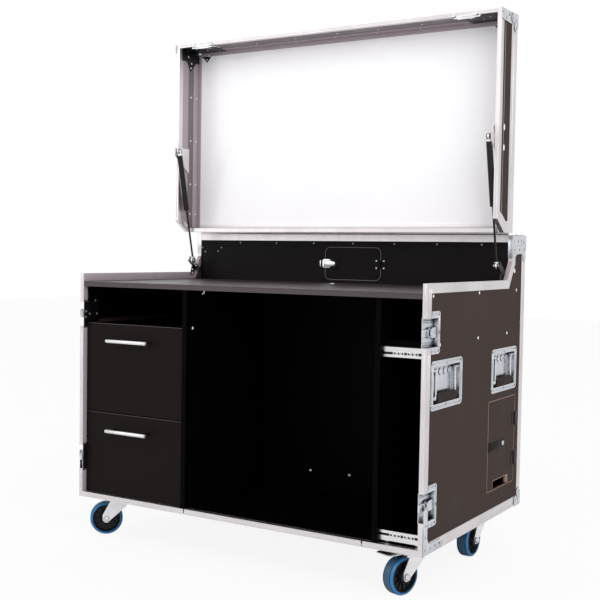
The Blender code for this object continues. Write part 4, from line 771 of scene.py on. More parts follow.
class ROADCASE_OT_latch_dishes(bpy.types.Operator):
    """Line the latch dishes with pressed zinc plate"""

    bl_idname = "roadcase.latch_dishes"
    bl_label = "Latch dishes"

    def execute(self, context):
        for side, sign in SIDES:
            for place, height in LATCH_HEIGHTS.items():
                dish = self.dish(sign, height)
                finished(dish, f"{side}_{place}_latch_dish", "case", "zinc")
                low = (sign * 0.5557, 0.001, height - 0.0375)
                back = slab(low, (sign * 0.5552, 0.0705, height + 0.0375), 0.0001)
                finished(back, f"{side}_{place}_dish_back", "case", "hinge")
        return {"FINISHED"}

    def dish(self, sign, height):
        """A riveted flange round the well, and thin plates on the well's floor and walls."""
        face = sign * PLATE_X
        low = (face, LEG_WIDE, height - 0.054)
        across = (sign * 0.0006, 0.0, 0.0)
        flange = rounded_plate(low, (face, 0.08, height + 0.054), 0.009, across)
        hole = slab((sign * 0.56, -0.01, height - WELL_HALF), (sign * 0.58, 0.0696, height + WELL_HALF), 0.0)
        parts = [cut_from(flange, hole)]
        inner = sign * WELL_IN
        outer = sign * 0.5712
        parts.append(slab((sign * 0.5571, 0.0003, height - 0.0368), (inner, 0.0698, height + 0.0368), 0.0))
        parts.append(slab((inner, 0.0003, height + 0.0364), (outer, 0.0698, height + 0.0369)))
        parts.append(slab((inner, 0.0003, height - 0.0369), (outer, 0.0698, height - 0.0364)))
        parts.append(slab((inner, 0.0694, height - 0.0368), (outer, 0.0699, height + 0.0368)))
        rim = sign * 0.5714
        lines = [((rim, 0.0745, height - 0.04), (rim, 0.0745, height + 0.04))]
        for up in (0.0455, -0.0455):
            lines.append(((rim, LEG_WIDE + 0.006, height + up), (rim, 0.066, height + up)))
        for up in (-0.03, -0.025, 0.025, 0.03):
            lines.append(((inner, 0.004, height + up), (inner, 0.066, height + up)))
        parts.append(beads(lines, 0.0014))
        spots = []
        for y, z in ((0.031, 0.0475), (0.053, 0.0475), (0.0735, 0.047), (0.0735, 0.0)):
            spots += [(y, height + z), (y, height - z)]
        parts.append(rivets(0.0036, spots_at(rim, OUTWARD[sign], spots)))
        return joined(parts)


SIDE_RIVETS = ((0.038, 0.777), (0.351, 0.778), (0.651, 0.779), (0.577, 0.655), (0.349, 0.654), (0.086, 0.652))
SIDE_BOLTS = ((0.627, 0.836), (0.581, 0.795))
SERVICE_RIVETS = (-0.392, -0.247, -0.103, 0.042, 0.187, 0.331, 0.474)
SERVICE_CORNER = ((-0.552, 0.894), (-0.539, 0.88), (-0.485, 0.882), (-0.471, 0.895))
WELL_RIVETS = ((0.0087, 0.6929), (0.0247, 0.6849), (0.0089, 0.6761), (0.0513, 0.7255), (0.0578, 0.6842))
LID_BOLTS = ((0.51, 1.246), (0.51, 1.188))


class ROADCASE_OT_rivets(bpy.types.Operator):
    """Set the rivets and bolts of the panels"""

    bl_idname = "roadcase.rivets"
    bl_label = "Rivets"

    def execute(self, context):
        small = []
        large = []
        oval = []
        for _, sign in SIDES:
            small += spots_at(sign * SKIN, OUTWARD[sign], SIDE_RIVETS)
            large += spots_at(sign * SKIN, OUTWARD[sign], SIDE_BOLTS)
            oval += spots_at(sign * SKIN, OUTWARD[sign], LID_BOLTS)
        rear = [((x, SERVICE_Y, 0.912), "-Y") for x in SERVICE_RIVETS]
        rear += [((x, SERVICE_Y, z), "-Y") for x, z in SERVICE_CORNER]
        rear += spots_at(-0.5552, "+X", WELL_RIVETS)
        finished(heads(FLAT_RIVET, rear), "inner_rivets", "case", "dull")
        small += [((0.001, 0.431, 0.204), "-Y"), ((0.137, 0.431, 0.205), "-Y"), ((-0.169, 0.031, 0.66), "+X")]
        finished(rivets(0.0036, small, 1.25), "panel_rivets", "case", "pale")
        finished(heads(WALL_BOLT, large, 1.2), "bracket_bolts", "case", "bolt")
        finished(heads(LID_BOLT, oval, 1.6), "lid_bolts", "lid", "pale")
        return {"FINISHED"}


BRACE_OUTLINE = ((0.0, 0.0), (0.11, 0.0), (0.124, 0.012), (0.108, 0.0245), (0.04, 0.0245), (0.0245, 0.036))
BRACE_SPOTS = ((0.016, 0.139), (0.05, 0.139), (0.08, 0.139), (0.11, 0.139), (0.015, 0.172), (0.015, 0.202))
# The stretches between the latches, where the front edges keep their ribs and inner faces.
POST_RIBS = ((0.15, 0.192), (0.302, 0.63), (0.74, 0.795))
FRONT_RIBS = ((0.152, 0.2), (0.294, 0.638), (0.732, 0.806))
POST_LEGS = ((0.139, 0.205), (0.289, 0.643), (0.727, 0.783))
LID_SIDE_OUTLINE = ((0.4935, 1.544), (0.507, 1.544), (0.507, 0.998), (0.4935, 1.008))
TOP_LEG_OUTLINE = (
    (0.0008, 0.7856), (0.0008, 0.8086), (0.5702, 0.8086), (0.6072, 0.8632), (0.6072, 0.836), (0.575, 0.7856),
)


def uprights(x, y, stretches):
    """Upright lines at one place, one for each (low, high) stretch."""
    return [((x, y, low), (x, y, high)) for low, high in stretches]


class ROADCASE_OT_extrusions(bpy.types.Operator):
    """Add the ribs, inner faces and riveted corner braces of the aluminium edges"""

    bl_idname = "roadcase.extrusions"
    bl_label = "Extrusions"

    def execute(self, context):
        self.ribs()
        legs = []
        panels = []
        lid_legs = []
        braces = []
        for _, sign in SIDES:
            for low, high in POST_LEGS:
                legs.append(slab((sign * 0.5571, 0.0008, low), (sign * 0.5567, 0.0185, high), 0.0001))
            legs.append(self.top_inner_leg(sign))
            panels.append(side_plate(sign * 0.5702, LID_SIDE_OUTLINE, sign * 0.0005, 0.0001))
            lid_legs.append(slab((sign * SKIN, 0.556, 0.98), (sign * 0.5705, 0.5695, 1.544)))
            outline = [(0.003 + along, 0.1265 + up) for along, up in BRACE_OUTLINE]
            outline += [(0.003 + up, 0.1265 + along) for along, up in BRACE_OUTLINE[:0:-1]]
            braces.append(side_plate(sign * (CASE_HALF + 0.0002), outline, sign * 0.001))
            braces.append(rivets(0.0034, spots_at(sign * (CASE_HALF + 0.001), OUTWARD[sign], BRACE_SPOTS)))
        finished(legs, "post_inner_legs", "case", "liner")
        finished(panels, "lid_side_edges", "lid", "panel")
        finished(lid_legs, "lid_rear_legs", "lid", "aluminium")
        finished(braces, "corner_braces", "case", "zinc")
        return {"FINISHED"}

    def ribs(self):
        """Fine half-round ribs along the edge sections of the case and of the lid."""
        case_lines = [((-0.52, 0.0, 0.132), (0.52, 0.0, 0.132))]
        lid_lines = [((-0.56, 0.472, z), (0.56, 0.472, z)) for z in (1.573, 1.569)]
        for _, sign in SIDES:
            side = sign * CASE_HALF
            for y in (0.012, 0.024):
                case_lines += uprights(side, y, POST_RIBS)
            case_lines += uprights(sign * 0.564, 0.0, FRONT_RIBS)
            for z in (0.133, 0.154):
                case_lines.append(((side, 0.036, z), (side, 0.672, z)))
            case_lines.append(((side, 0.03, 0.785), (side, 0.56, 0.785)))
            case_lines += uprights(side, 0.691, [(0.175, 0.888)])
            lid_lines += uprights(side, 0.503, [(0.992, 1.54)])
            lid_lines += uprights(side, 0.575, [(0.965, 1.515)])
            lid_lines += uprights(sign * 0.5636, 0.472, [(0.992, 1.57)])
        radius = sizes().edge_rib_radius
        finished(beads(case_lines, radius), "case_edge_ribs", "case", "aluminium")
        finished(beads(lid_lines, radius), "lid_edge_ribs", "lid", "aluminium")

    def top_inner_leg(self, sign):
        """The inner face of the edge section along the top of a side wall and up its chamfer."""
        inner = side_plate(sign * WELL_IN, TOP_LEG_OUTLINE, -sign * 0.0005, 0.0001)
        slope = Vector((0.0, -0.823, 0.568)) * 0.0003
        low, high = (0.5699, 0.8091), (0.6078, 0.8641)
        near, far = sign * WELL_IN, sign * 0.5699
        corners = [(near, *low), (far, *low), (far, *high), (near, *high)]
        return joined([inner, plate_piece(corners, slope, 0.0001)])


DRAWER_TOPS = {"upper_drawer": 0.659, "lower_drawer": 0.388}
BAR_X = -0.378


class ROADCASE_OT_drawer_bars(bpy.types.Operator):
    """Make the bright bar handles and the light top edges of the drawers"""

    bl_idname = "roadcase.drawer_bars"
    bl_label = "Drawer bars"

    def execute(self, context):
        for name, top in DRAWER_TOPS.items():
            low, high = (Vector(corner) - CASE_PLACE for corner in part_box(name))
            y = low.y + 0.006
            z = top - 0.0495
            parts = [round_piece(at(BAR_X, y, z), 0.0063, 0.153, "X", 0.002, 28)]
            for end in (-0.0771, 0.0771):
                parts.append(round_piece(at(BAR_X + end, y, z), 0.0046, 0.0012, "X", 0.0004, 20))
            finished(parts, f"{name}_bar", name, "steel")
            edge = slab((low.x + 0.002, 0.0144, high.z - 0.0012), (-0.18, 0.016, high.z + 0.0004), 0.0002)
            finished(edge, f"{name}_top_edge", name, "worktop")
        return {"FINISHED"}


DOOR = (0.447, 0.66, 0.208, 0.463)
HATCH = (-0.057, 0.139, 0.797, 0.898)
HATCH_MIDDLE = 0.8465
OPENING_GAP = 0.0012
HINGE_HEIGHTS = (0.394, 0.275)
LOCK = (0.559, 0.334)
CABLE_SLOT = (
    ((-0.0002, 0.491, 0.2318), (0.0004, 0.614, 0.2334)),
    ((-0.0002, 0.4896, 0.208), (0.0004, 0.491, 0.2334)),
    ((-0.0002, 0.614, 0.208), (0.0004, 0.6154, 0.2334)),
    ((-0.0088, 0.605, 0.2085), (-0.001, 0.6134, 0.2326)),
)


class ROADCASE_OT_door_fittings(bpy.types.Operator):
    """Add the bare edges, hinges and lock of the access door, and the hatch's edge, hinge and latch plates"""

    bl_idname = "roadcase.door_fittings"
    bl_label = "Door fittings"

    def execute(self, context):
        self.edges()
        self.hinge("case", 0.6615, 0.68)
        self.hinge("access_door", 0.6415, 0.6595)
        plate = slab((SKIN + 0.001, 0.4582, 0.3226), (SKIN + 0.0015, 0.5822, 0.3454))
        finished(plate, "lock_plate", "access_door", "board")
        lock = round_piece(at(SKIN + 0.0026, *LOCK), 0.0072, 0.004, "X", 0.0012, 32)
        key = slab((SKIN + 0.003, 0.5583, 0.329), (SKIN + 0.006, 0.5597, 0.339), 0.0)
        finished(cut_from(lock, key), "door_lock", "access_door", "steel")
        self.hatch()
        return {"FINISHED"}

    def edges(self):
        """The bare board round the access door and round its cable slot."""
        front, rear, bottom, top = DOOR
        out = OPENING_GAP + 0.0016
        face = (0.0004, 0.0, 0.0)
        outer = rounded_plate((SKIN, front - out, bottom - out), (SKIN, rear + out, top + out), 0.004, face)
        low = (SKIN - 0.01, front - OPENING_GAP, bottom - OPENING_GAP)
        hole = slab(low, (SKIN + 0.01, rear + OPENING_GAP, top + OPENING_GAP), 0.0)
        edging = cut_from(outer, hole)
        slot = [slab((SKIN + one[0], *one[1:]), (SKIN + other[0], *other[1:])) for one, other in CABLE_SLOT]
        finished(slot, "cable_slot_edge", "access_door", "plywood")
        finished(edging, "door_opening_edge", "case", "plywood")

    def hinge(self, body, start, end):
        """One body's leaves of the two door hinges, with their screws."""
        leaves = []
        screws = []
        for height in HINGE_HEIGHTS:
            low = (SKIN + 0.0009, start, height - 0.0203)
            leaves.append(slab(low, (SKIN + 0.0017, end, height + 0.0203)))
            screws += [((start + end) / 2, height + up) for up in (-0.012, 0.012)]
        finished(leaves, f"{body}_hinge_leaves", body, "hinge")
        dots = heads(HINGE_SCREW, spots_at(SKIN + 0.0016, "+X", screws))
        finished(dots, f"{body}_hinge_screws", body, "hinge")

    def hatch(self):
        """The hatch's edge ring, its hinge dots and its latch."""
        left, right, bottom, top = HATCH
        out = OPENING_GAP + 0.0011
        low = (left - out, SERVICE_Y, bottom - out)
        high = (right + out, SERVICE_Y, top + out)
        ring = rounded_plate(low, high, 0.0177, (0.0, -0.0004, 0.0), 0.0)
        low = (left - OPENING_GAP, SERVICE_Y + 0.01, bottom - OPENING_GAP)
        high = (right + OPENING_GAP, SERVICE_Y + 0.01, top + OPENING_GAP)
        hole = rounded_plate(low, high, 0.0162, (0.0, -0.02, 0.0), 0.0)
        finished(cut_from(ring, hole), "hatch_edge", "case", "dull")
        y = SERVICE_Y - 0.0012
        for body, x in (("case", 0.1525), ("hatch_door", 0.1265)):
            dots = [((x, y, HATCH_MIDDLE + z), "-Y") for z in (-0.0115, 0.0115)]
            finished(heads(HATCH_DOT, dots), f"{body}_hatch_dots", body, "pale")
        self.hatch_latch(y)

    def hatch_latch(self, y):
        """A draw latch: a loop and a lever on the hatch, and its keeper on the panel beside it."""
        z = HATCH_MIDDLE
        back = slab((-0.0556, y + 0.0002, z - 0.0162), (-0.0118, y - 0.0003, z + 0.0162))
        finished(back, "hatch_latch_plate", "hatch_door", "hinge")
        out = (0.0, -0.0022, 0.0)
        keeper = rounded_plate((-0.0775, y, z - 0.0105), (-0.07, y, z + 0.0105), 0.0035, out)
        bar = round_piece(at(-0.0665, y - 0.0012, z), 0.0018, 0.016, "Z", 0.0006, 14)
        finished([keeper, bar], "hatch_keeper", "case", "bolt")
        face = y - 0.004
        out = (0.0, -0.0016, 0.0)
        loop = rounded_plate((-0.0655, face, z - 0.014), (-0.036, face, z + 0.014), 0.006, out)
        hole = slab((-0.0605, face - 0.01, z - 0.0096), (-0.03, face + 0.01, z + 0.0096), 0.0)
        lever = [(-0.0585, face, z - 0.0078), (-0.036, face, z - 0.0088), (-0.02, face, z - 0.0052)]
        lever += [(x, up, 2 * z - height) for x, up, height in lever[::-1]]
        tab = round_piece(at(-0.0228, face - 0.0014, z), 0.0042, 0.0034, "Y", 0.0008, 28)
        parts = [cut_from(loop, hole), plate_piece(lever, (0.0, -0.003, 0.0), 0.0006), tab]
        finished(parts, "hatch_draw_latch", "hatch_latch", "bolt")


RAIL_HEIGHTS = {"top": 0.6298, "bottom": 0.1647}
RAIL_GROUPS = (0.488, 0.5265)
RAIL_PITCH = 0.0107
RAIL_HOLE = 0.0031


class ROADCASE_OT_rack_rails(bpy.types.Operator):
    """Add a black strip along each rack rail's row of holes and a black disc in each hole, both painted
    shade, and the rings round the holes
    """

    bl_idname = "roadcase.rack_rails"
    bl_label = "Rack rails"

    def execute(self, context):
        for name, z in RAIL_HEIGHTS.items():
            # Painted shade: a black strip along the row of holes, and a black disc inside each hole.
            dark = [slab((0.4436, 0.0147, z - 0.0032), (0.5568, 0.0151, z + 0.0032), 0.0001)]
            rings = []
            for x in [group + step * RAIL_PITCH for group in RAIL_GROUPS for step in (-1, 0, 1)]:
                ring = round_piece(at(x, 0.0144, z), 0.005, 0.001, "Y", 0.0002, 24)
                rings.append(cut_from(ring, round_piece(at(x, 0.0144, z), RAIL_HOLE, 0.01, "Y", 0.0, 20)))
                dark.append(round_piece(at(x, 0.0146, z), RAIL_HOLE, 0.0006, "Y", 0.0001, 20))
            finished(dark, f"{name}_rail_slot", "case", "hinge")
            finished(rings, f"{name}_rail_rings", "case", "pale")
        return {"FINISHED"}


UPPER_STUD = Vector((0.0, 0.458, 1.216))
LOWER_STUD = Vector((0.0, 0.544, 0.85))
STRUT_X = 0.545
LID_PLATE = ((0.4652, 1.256), (0.483, 1.245), (0.484, 1.196), (0.46, 1.19), (0.4485, 1.21))
LID_PLATE_BOLTS = ((0.4745, 1.238), (0.4745, 1.205))
BODY_PLATE = ((0.542, 0.7995), (0.56, 0.7995), (0.582, 0.831), (0.57, 0.84), (0.548, 0.827))
BODY_PLATE_BOLTS = ((0.573, 0.831), (0.554, 0.818), (0.553, 0.8055))
# The sleeve's corners, along the bracket's arm and across it from the lower stud.
SLEEVE = ((-0.0093, -0.0103), (0.048, -0.0103), (0.048, 0.0103), (-0.0093, 0.0103))
ARM_ALONG = (0.8227, -0.5684)


class ROADCASE_OT_strut_ends(bpy.types.Operator):
    """Make the struts' end fittings and cover their brackets"""

    bl_idname = "roadcase.strut_ends"
    bl_label = "Strut ends"

    def execute(self, context):
        for side, sign in SIDES:
            self.end(side, sign, "upper", UPPER_STUD, LOWER_STUD, 0.0145)
            self.end(side, sign, "lower", LOWER_STUD, UPPER_STUD, 0.007)
            inward = OUTWARD[-sign]
            bolt = heads(STRUT_BOLT, [((sign * 0.555, 0.5658, 0.8386), inward)])
            finished(bolt, f"{side}_bracket_bolt", "case", "pale")
            cover = side_plate(sign * 0.5546, LID_PLATE, -sign * 0.0008)
            dots = heads(PLATE_BOLT, spots_at(sign * 0.5538, inward, LID_PLATE_BOLTS))
            finished([cover, dots], f"{side}_lid_bracket_plate", "lid", "bolt")
            arm = []
            for far, half in SLEEVE:
                y = LOWER_STUD.y + ARM_ALONG[0] * far - ARM_ALONG[1] * half
                arm.append((y, LOWER_STUD.z + ARM_ALONG[1] * far + ARM_ALONG[0] * half))
            sleeve = side_plate(sign * 0.555, arm, sign * 0.0017, 0.0)
            cover = joined([sleeve, side_plate(sign * 0.5548, BODY_PLATE, -sign * 0.0004, 0.0001)])
            dots = heads(PLATE_BOLT, spots_at(sign * 0.5544, inward, BODY_PLATE_BOLTS))
            finished(dots, f"{side}_body_bracket_bolts", "case", "pale")
            finished(cover, f"{side}_body_bracket_plate", "case", "hinge")
        return {"FINISHED"}

    def end(self, side, sign, name, point, other, length):
        """A zinc eye on one stud, and a neck from it towards the other stud."""
        way = (other - point).normalized()
        turn = (LOWER_STUD - UPPER_STUD).normalized().to_track_quat("Z", "Y").to_matrix().to_4x4()
        deselect_all()
        bpy.ops.mesh.primitive_uv_sphere_add(segments=24, ring_count=16, radius=0.0098)
        knob = bpy.context.active_object
        eye = at(sign * STRUT_X, point.y, point.z)
        knob.data.transform(Matrix.Translation(eye) @ Matrix.Diagonal((0.72, 1.0, 1.0, 1.0)))
        neck = round_piece((0.0, 0.0, 0.0), 0.0066, length, "Z", 0.0012, 24)
        neck.data.transform(Matrix.Translation(eye + way * (0.0055 + length / 2)) @ turn)
        body = f"{side}_strut_tube" if name == "upper" else f"{side}_strut_rod"
        finished([knob, neck], f"{side}_{name}_strut_end", body, "bolt")


LID_PAIRS = (1.408, 1.26, 1.111, 1.009)
CEILING = 1.5664
CEILING_RIVETS = (
    (0.3025, 0.5268), (0.2765, 0.575), (0.4535, 0.5259), (0.4231, 0.575), (0.5257, 0.5186), (-0.4298, 0.5199),
    (-0.46, 0.57), (-0.2872, 0.533), (-0.1355, 0.523), (-0.1608, 0.5711), (0.0188, 0.5198), (-0.0155, 0.57),
    (0.1564, 0.5284), (0.1306, 0.5745),
)
LINER_X = 0.5591
# The flat strips on the lid's ceiling, at the writing board's foot and along its top.
LONG_STRIPS = (
    ((-0.5585, 0.555, CEILING - 0.0012), (0.5585, 0.5866, CEILING + 0.0002)),
    ((-0.5585, 0.531, 0.96), (0.5585, 0.5868, 0.9612)),
    ((-0.5585, 0.5848, 1.5515), (0.5585, 0.5868, CEILING)),
)
BRACE_TOP = CEILING - 0.0014
# A black brace's corners: how far back and how far down on a side wall, and how far out on the board.
WALL_BRACE = (
    (0.486, 0.0), (0.586, 0.0), (0.586, 0.038), (0.566, 0.038), (0.535, 0.07), (0.512, 0.038), (0.486, 0.038),
)
BOARD_BRACE = ((0.556, 0.0), (0.506, 0.0), (0.506, 0.012), (0.525, 0.034), (0.54, 0.017), (0.556, 0.017))
KEEPER_X = 0.463
KEEPER_Z = 1.5615


class ROADCASE_OT_lid_lining(bpy.types.Operator):
    """Line the lid's inner walls with pale strips, partly a painted reflection of the writing board, and
    darker strips of painted shade, and put black braces in its corners
    """

    bl_idname = "roadcase.lid_lining"
    bl_label = "Lid lining"

    def execute(self, context):
        self.strips()
        self.braces()
        self.keepers()
        return {"FINISHED"}

    def strips(self):
        """Pale strips and darker bands on the lid's walls and ceiling, with their rivets. The wide pale plate
        on each side wall is a painted reflection of the writing board on the glossy black wall, and the
        darker bands are painted shade.
        """
        liner = []
        band = []
        dots = []
        for _, sign in SIDES:
            inner = sign * LINER_X
            # Painted reflection: this wide lilac-grey plate stands for the writing board's reflection on the
            # glossy black side wall.
            wide = ((0.4745, 0.988), (0.5255, 0.9545), (0.5255, CEILING), (0.4745, CEILING))
            liner.append(side_plate(inner, wide, -sign * 0.0006))
            # Painted shade: a darker copy of the lilac-grey on the wall, between the wide plate and the strip
            # at the board.
            band.append(slab((inner, 0.5258, 0.959), (inner - sign * 0.0005, 0.555, CEILING)))
            liner.append(slab((inner, 0.5545, 0.963), (inner - sign * 0.0014, 0.5866, CEILING)))
            liner.append(slab((sign * 0.548, 0.5845, 0.963), (inner, 0.5868, CEILING)))
            for z in LID_PAIRS:
                dots.append(((inner - sign * 0.0004, 0.54, z), OUTWARD[-sign]))
                dots.append(((inner - sign * 0.0012, 0.57, z), OUTWARD[-sign]))
        liner += [slab(one, other) for one, other in LONG_STRIPS]
        # Painted shade: the same darker copy along the lid's ceiling.
        band.append(slab((-0.5585, 0.496, CEILING + 0.0001), (0.5585, 0.5552, CEILING - 0.0005)))
        foot = slab((-0.548, 0.5848, 0.96), (0.548, 0.5868, 0.9745))
        finished(foot, "writing_board_foot", "lid", "writing")
        for x, y in CEILING_RIVETS:
            dots.append(((x, y, CEILING - (0.0012 if y > 0.555 else 0.0004)), "-Z"))
        finished(liner, "lid_lining_strips", "lid", "liner")
        finished(band, "lid_lining_bands", "lid", "band")
        finished(rivets(0.0034, dots), "lid_lining_rivets", "lid", "pale")

    def braces(self):
        """A black three-armed brace in each upper corner of the lid."""
        black = []
        dots = []
        for _, sign in SIDES:
            face = sign * 0.5576
            wall = [(y, BRACE_TOP - down) for y, down in WALL_BRACE]
            black.append(side_plate(face, wall, -sign * 0.0012))
            black.append(slab((sign * 0.442, 0.486, BRACE_TOP - 0.0012), (sign * 0.558, 0.5866, BRACE_TOP)))
            board = [(sign * x, 0.5866, BRACE_TOP - down) for x, down in BOARD_BRACE]
            black.append(plate_piece(board, (0.0, -0.0012, 0.0)))
            for x, y in ((0.462, 0.515), (0.49, 0.54), (0.52, 0.515)):
                dots.append(((sign * x, y, BRACE_TOP - 0.0011), "-Z"))
            for y, down in ((0.52, 0.022), (0.538, 0.042), (0.535, 0.058)):
                dots.append(((face - sign * 0.001, y, BRACE_TOP - down), OUTWARD[-sign]))
            for x, down in ((0.516, 0.012), (0.5255, 0.024)):
                dots.append(((sign * x, 0.5856, BRACE_TOP - down), "-Y"))
        finished(black, "lid_corner_braces", "lid", "hinge")
        finished(heads(BRACE_RIVET, dots), "lid_brace_rivets", "lid", "pale")

    def keepers(self):
        """The two pressed keepers on the lid's front edge."""
        parts = []
        for _, sign in SIDES:
            x = sign * KEEPER_X
            parts.append(slab((x - 0.04, 0.4706, KEEPER_Z), (x + 0.04, 0.4722, KEEPER_Z + 0.0035), 0.0005))
            low = (x - 0.027, 0.4706, KEEPER_Z - 0.006)
            parts.append(slab(low, (x + 0.027, 0.478, KEEPER_Z - 0.001), 0.0008))
            for end in (-1, 1):
                tip = x + end * 0.04
                high = (tip - end * 0.011, 0.4722, KEEPER_Z + 0.015)
                parts.append(slab((tip, 0.4706, KEEPER_Z), high, 0.0005))
            ends = [((x + end * 0.0345, 0.4708, KEEPER_Z + 0.009), "-Y") for end in (-1, 1)]
            parts.append(rivets(0.003, ends))
        finished(parts, "latch_keepers", "lid", "zinc")


BALL = 0.0156
BALL_IN = 0.011
ARM_LONG = 0.052
ARM_WIDE = 0.03
FLANGE_OUT = 0.0012
FLANGE_THICK = 0.0008
CORNER_SPOTS = ((ARM_LONG - 0.012, ARM_WIDE / 2), (ARM_WIDE / 2, ARM_LONG - 0.012), (0.02, 0.02))
CASE_BACK = 0.72
CASE_TOP = 0.94
CASE_LOW = 0.125
LID_TOP = 1.578
LID_BACK = 0.602
LID_CORNER_OUTLINE = (
    (0.464, 1.5765), (0.545, 1.5765), (0.545, 1.556), (0.52, 1.5445), (0.4887, 1.5445), (0.47, 1.548),
)
LID_CORNER_SPOTS = ((0.478, 1.566), (0.505, 1.553), (0.53, 1.566))
STRIP_OUTLINE = (
    (0.608, 0.9385), (0.717, 0.9385), (0.717, 0.868), (0.709, 0.862), (0.697, 0.868),
    (0.692, 0.884), (0.668, 0.886), (0.64, 0.884), (0.619, 0.872), (0.608, 0.872),
)
STRIP_SPOTS = ((0.619, 0.924), (0.622, 0.897), (0.652, 0.924), (0.664, 0.899))


def flange_outline():
    """Two round-ended arms from a corner, as (along, across) points."""
    outline = [(0.0, 0.0)]
    for step in range(7):
        angle = math.pi * (step / 6 - 0.5)
        along = ARM_LONG - ARM_WIDE / 2 + ARM_WIDE / 2 * math.cos(angle)
        outline.append((along, ARM_WIDE / 2 * (1 + math.sin(angle))))
    outline.append((ARM_WIDE * 0.82, ARM_WIDE * 0.82))
    return outline + [(b, a) for a, b in outline[7:0:-1]]


def corner_cap(sign, y, z, up):
    """A pressed ball corner: a ball, and a riveted flange with two round-ended arms on each face."""
    corner = Vector((sign * CASE_HALF, y, z))
    outward = Vector((sign, 1, up))
    deselect_all()
    bpy.ops.mesh.primitive_uv_sphere_add(segments=32, ring_count=20, radius=BALL)
    ball = bpy.context.active_object
    ball.data.transform(Matrix.Translation(at(*(corner - outward * BALL_IN))))
    parts = [ball]
    for axis, first, second in ((0, 1, 2), (1, 0, 2), (2, 0, 1)):
        across = Vector()
        across[axis] = outward[axis] * FLANGE_THICK

        def place(a, b):
            spot = corner.copy()
            spot[axis] += outward[axis] * FLANGE_OUT
            spot[first] -= outward[first] * a
            spot[second] -= outward[second] * b
            return spot

        facing = ("+" if outward[axis] > 0 else "-") + "XYZ"[axis]
        parts.append(plate_piece([place(a, b) for a, b in flange_outline()], across, 0.0004))
        parts.append(rivets(0.0036, [(place(a, b) + across, facing) for a, b in CORNER_SPOTS]))
    return joined(parts)


class ROADCASE_OT_ball_corners(bpy.types.Operator):
    """Press the ball corners and the corner plates of the case and of the lid"""

    bl_idname = "roadcase.ball_corners"
    bl_label = "Ball corners"

    def execute(self, context):
        for side, sign in SIDES:
            for name, z, up in (("upper", CASE_TOP, 1), ("lower", CASE_LOW, -1)):
                finished(corner_cap(sign, CASE_BACK, z, up), f"{side}_{name}_ball_corner", "case", "zinc")
            self.strip_plate(side, sign)
            finished(corner_cap(sign, LID_BACK, LID_TOP, 1), f"{side}_lid_ball_corner", "lid", "zinc")
            cover = side_plate(sign * PLATE_X, LID_CORNER_OUTLINE, sign * 0.001, 0.0004)
            dots = rivets(0.0034, spots_at(sign * 0.5717, OUTWARD[sign], LID_CORNER_SPOTS))
            finished([cover, dots], f"{side}_lid_corner_plate", "lid", "zinc")
        return {"FINISHED"}

    def strip_plate(self, side, sign):
        """A riveted plate from the ball corner to the front of the case's rear strip."""
        face = sign * 0.5718
        parts = [
            side_plate(sign * PLATE_X, STRIP_OUTLINE, sign * 0.0011, 0.0004),
            rivets(0.0036, spots_at(face, OUTWARD[sign], STRIP_SPOTS)),
            beads([((face, 0.63, 0.911), (face, 0.68, 0.911))], 0.0018),
            slab((sign * 0.556, 0.6075, 0.872), (sign * 0.5719, 0.6082, 0.9385), 0.0001),
        ]
        finished(parts, f"{side}_strip_plate", "case", "zinc")


HOOK_X = -0.111
FRONT_JOINTS = (-0.171, 0.401)


class ROADCASE_OT_small_fittings(bpy.types.Operator):
    """Add the worktop's stud and hook, the front joint pieces, the hinge end plates and the cubby's
    near-black lining of painted shade
    """

    bl_idname = "roadcase.small_fittings"
    bl_label = "Small fittings"

    def execute(self, context):
        stud = heads(WORKTOP_STUD, [((0.0435, 0.4706, 0.785), "+Z")])
        finished(stud, "worktop_stud", "case", "pale")
        hook = [
            round_piece(at(HOOK_X, 0.006, 0.7655), 0.0016, 0.009, "Z", 0.0004, 14),
            round_piece(at(HOOK_X, 0.0025, 0.7612), 0.0016, 0.009, "Y", 0.0004, 14),
        ]
        finished(hook, "worktop_hook", "case", "steel")
        joints = []
        for x in FRONT_JOINTS:
            joints.append(slab((x - 0.0018, -0.0005, 0.129), (x + 0.0018, 0.02, 0.1412), 0.0004))
        finished(joints, "front_edge_joints", "case", "hinge")
        ends = []
        for _, sign in SIDES:
            ends.append(slab((sign * 0.557, 0.6032, 0.9474), (sign * 0.522, 0.6095, 0.9535), 0.001))
        finished(ends, "hinge_end_plates", "lid", "zinc")
        # Painted shade: a near-black sheet on the cubby's side and back walls.
        lining = [
            slab((-0.5568, 0.02, 0.669), (-0.5564, 0.429, 0.775), 0.0001),
            slab((-0.5564, 0.4296, 0.669), (-0.18, 0.43, 0.775), 0.0001),
        ]
        finished(lining, "compartment_lining", "case", "inner")
        return {"FINISHED"}


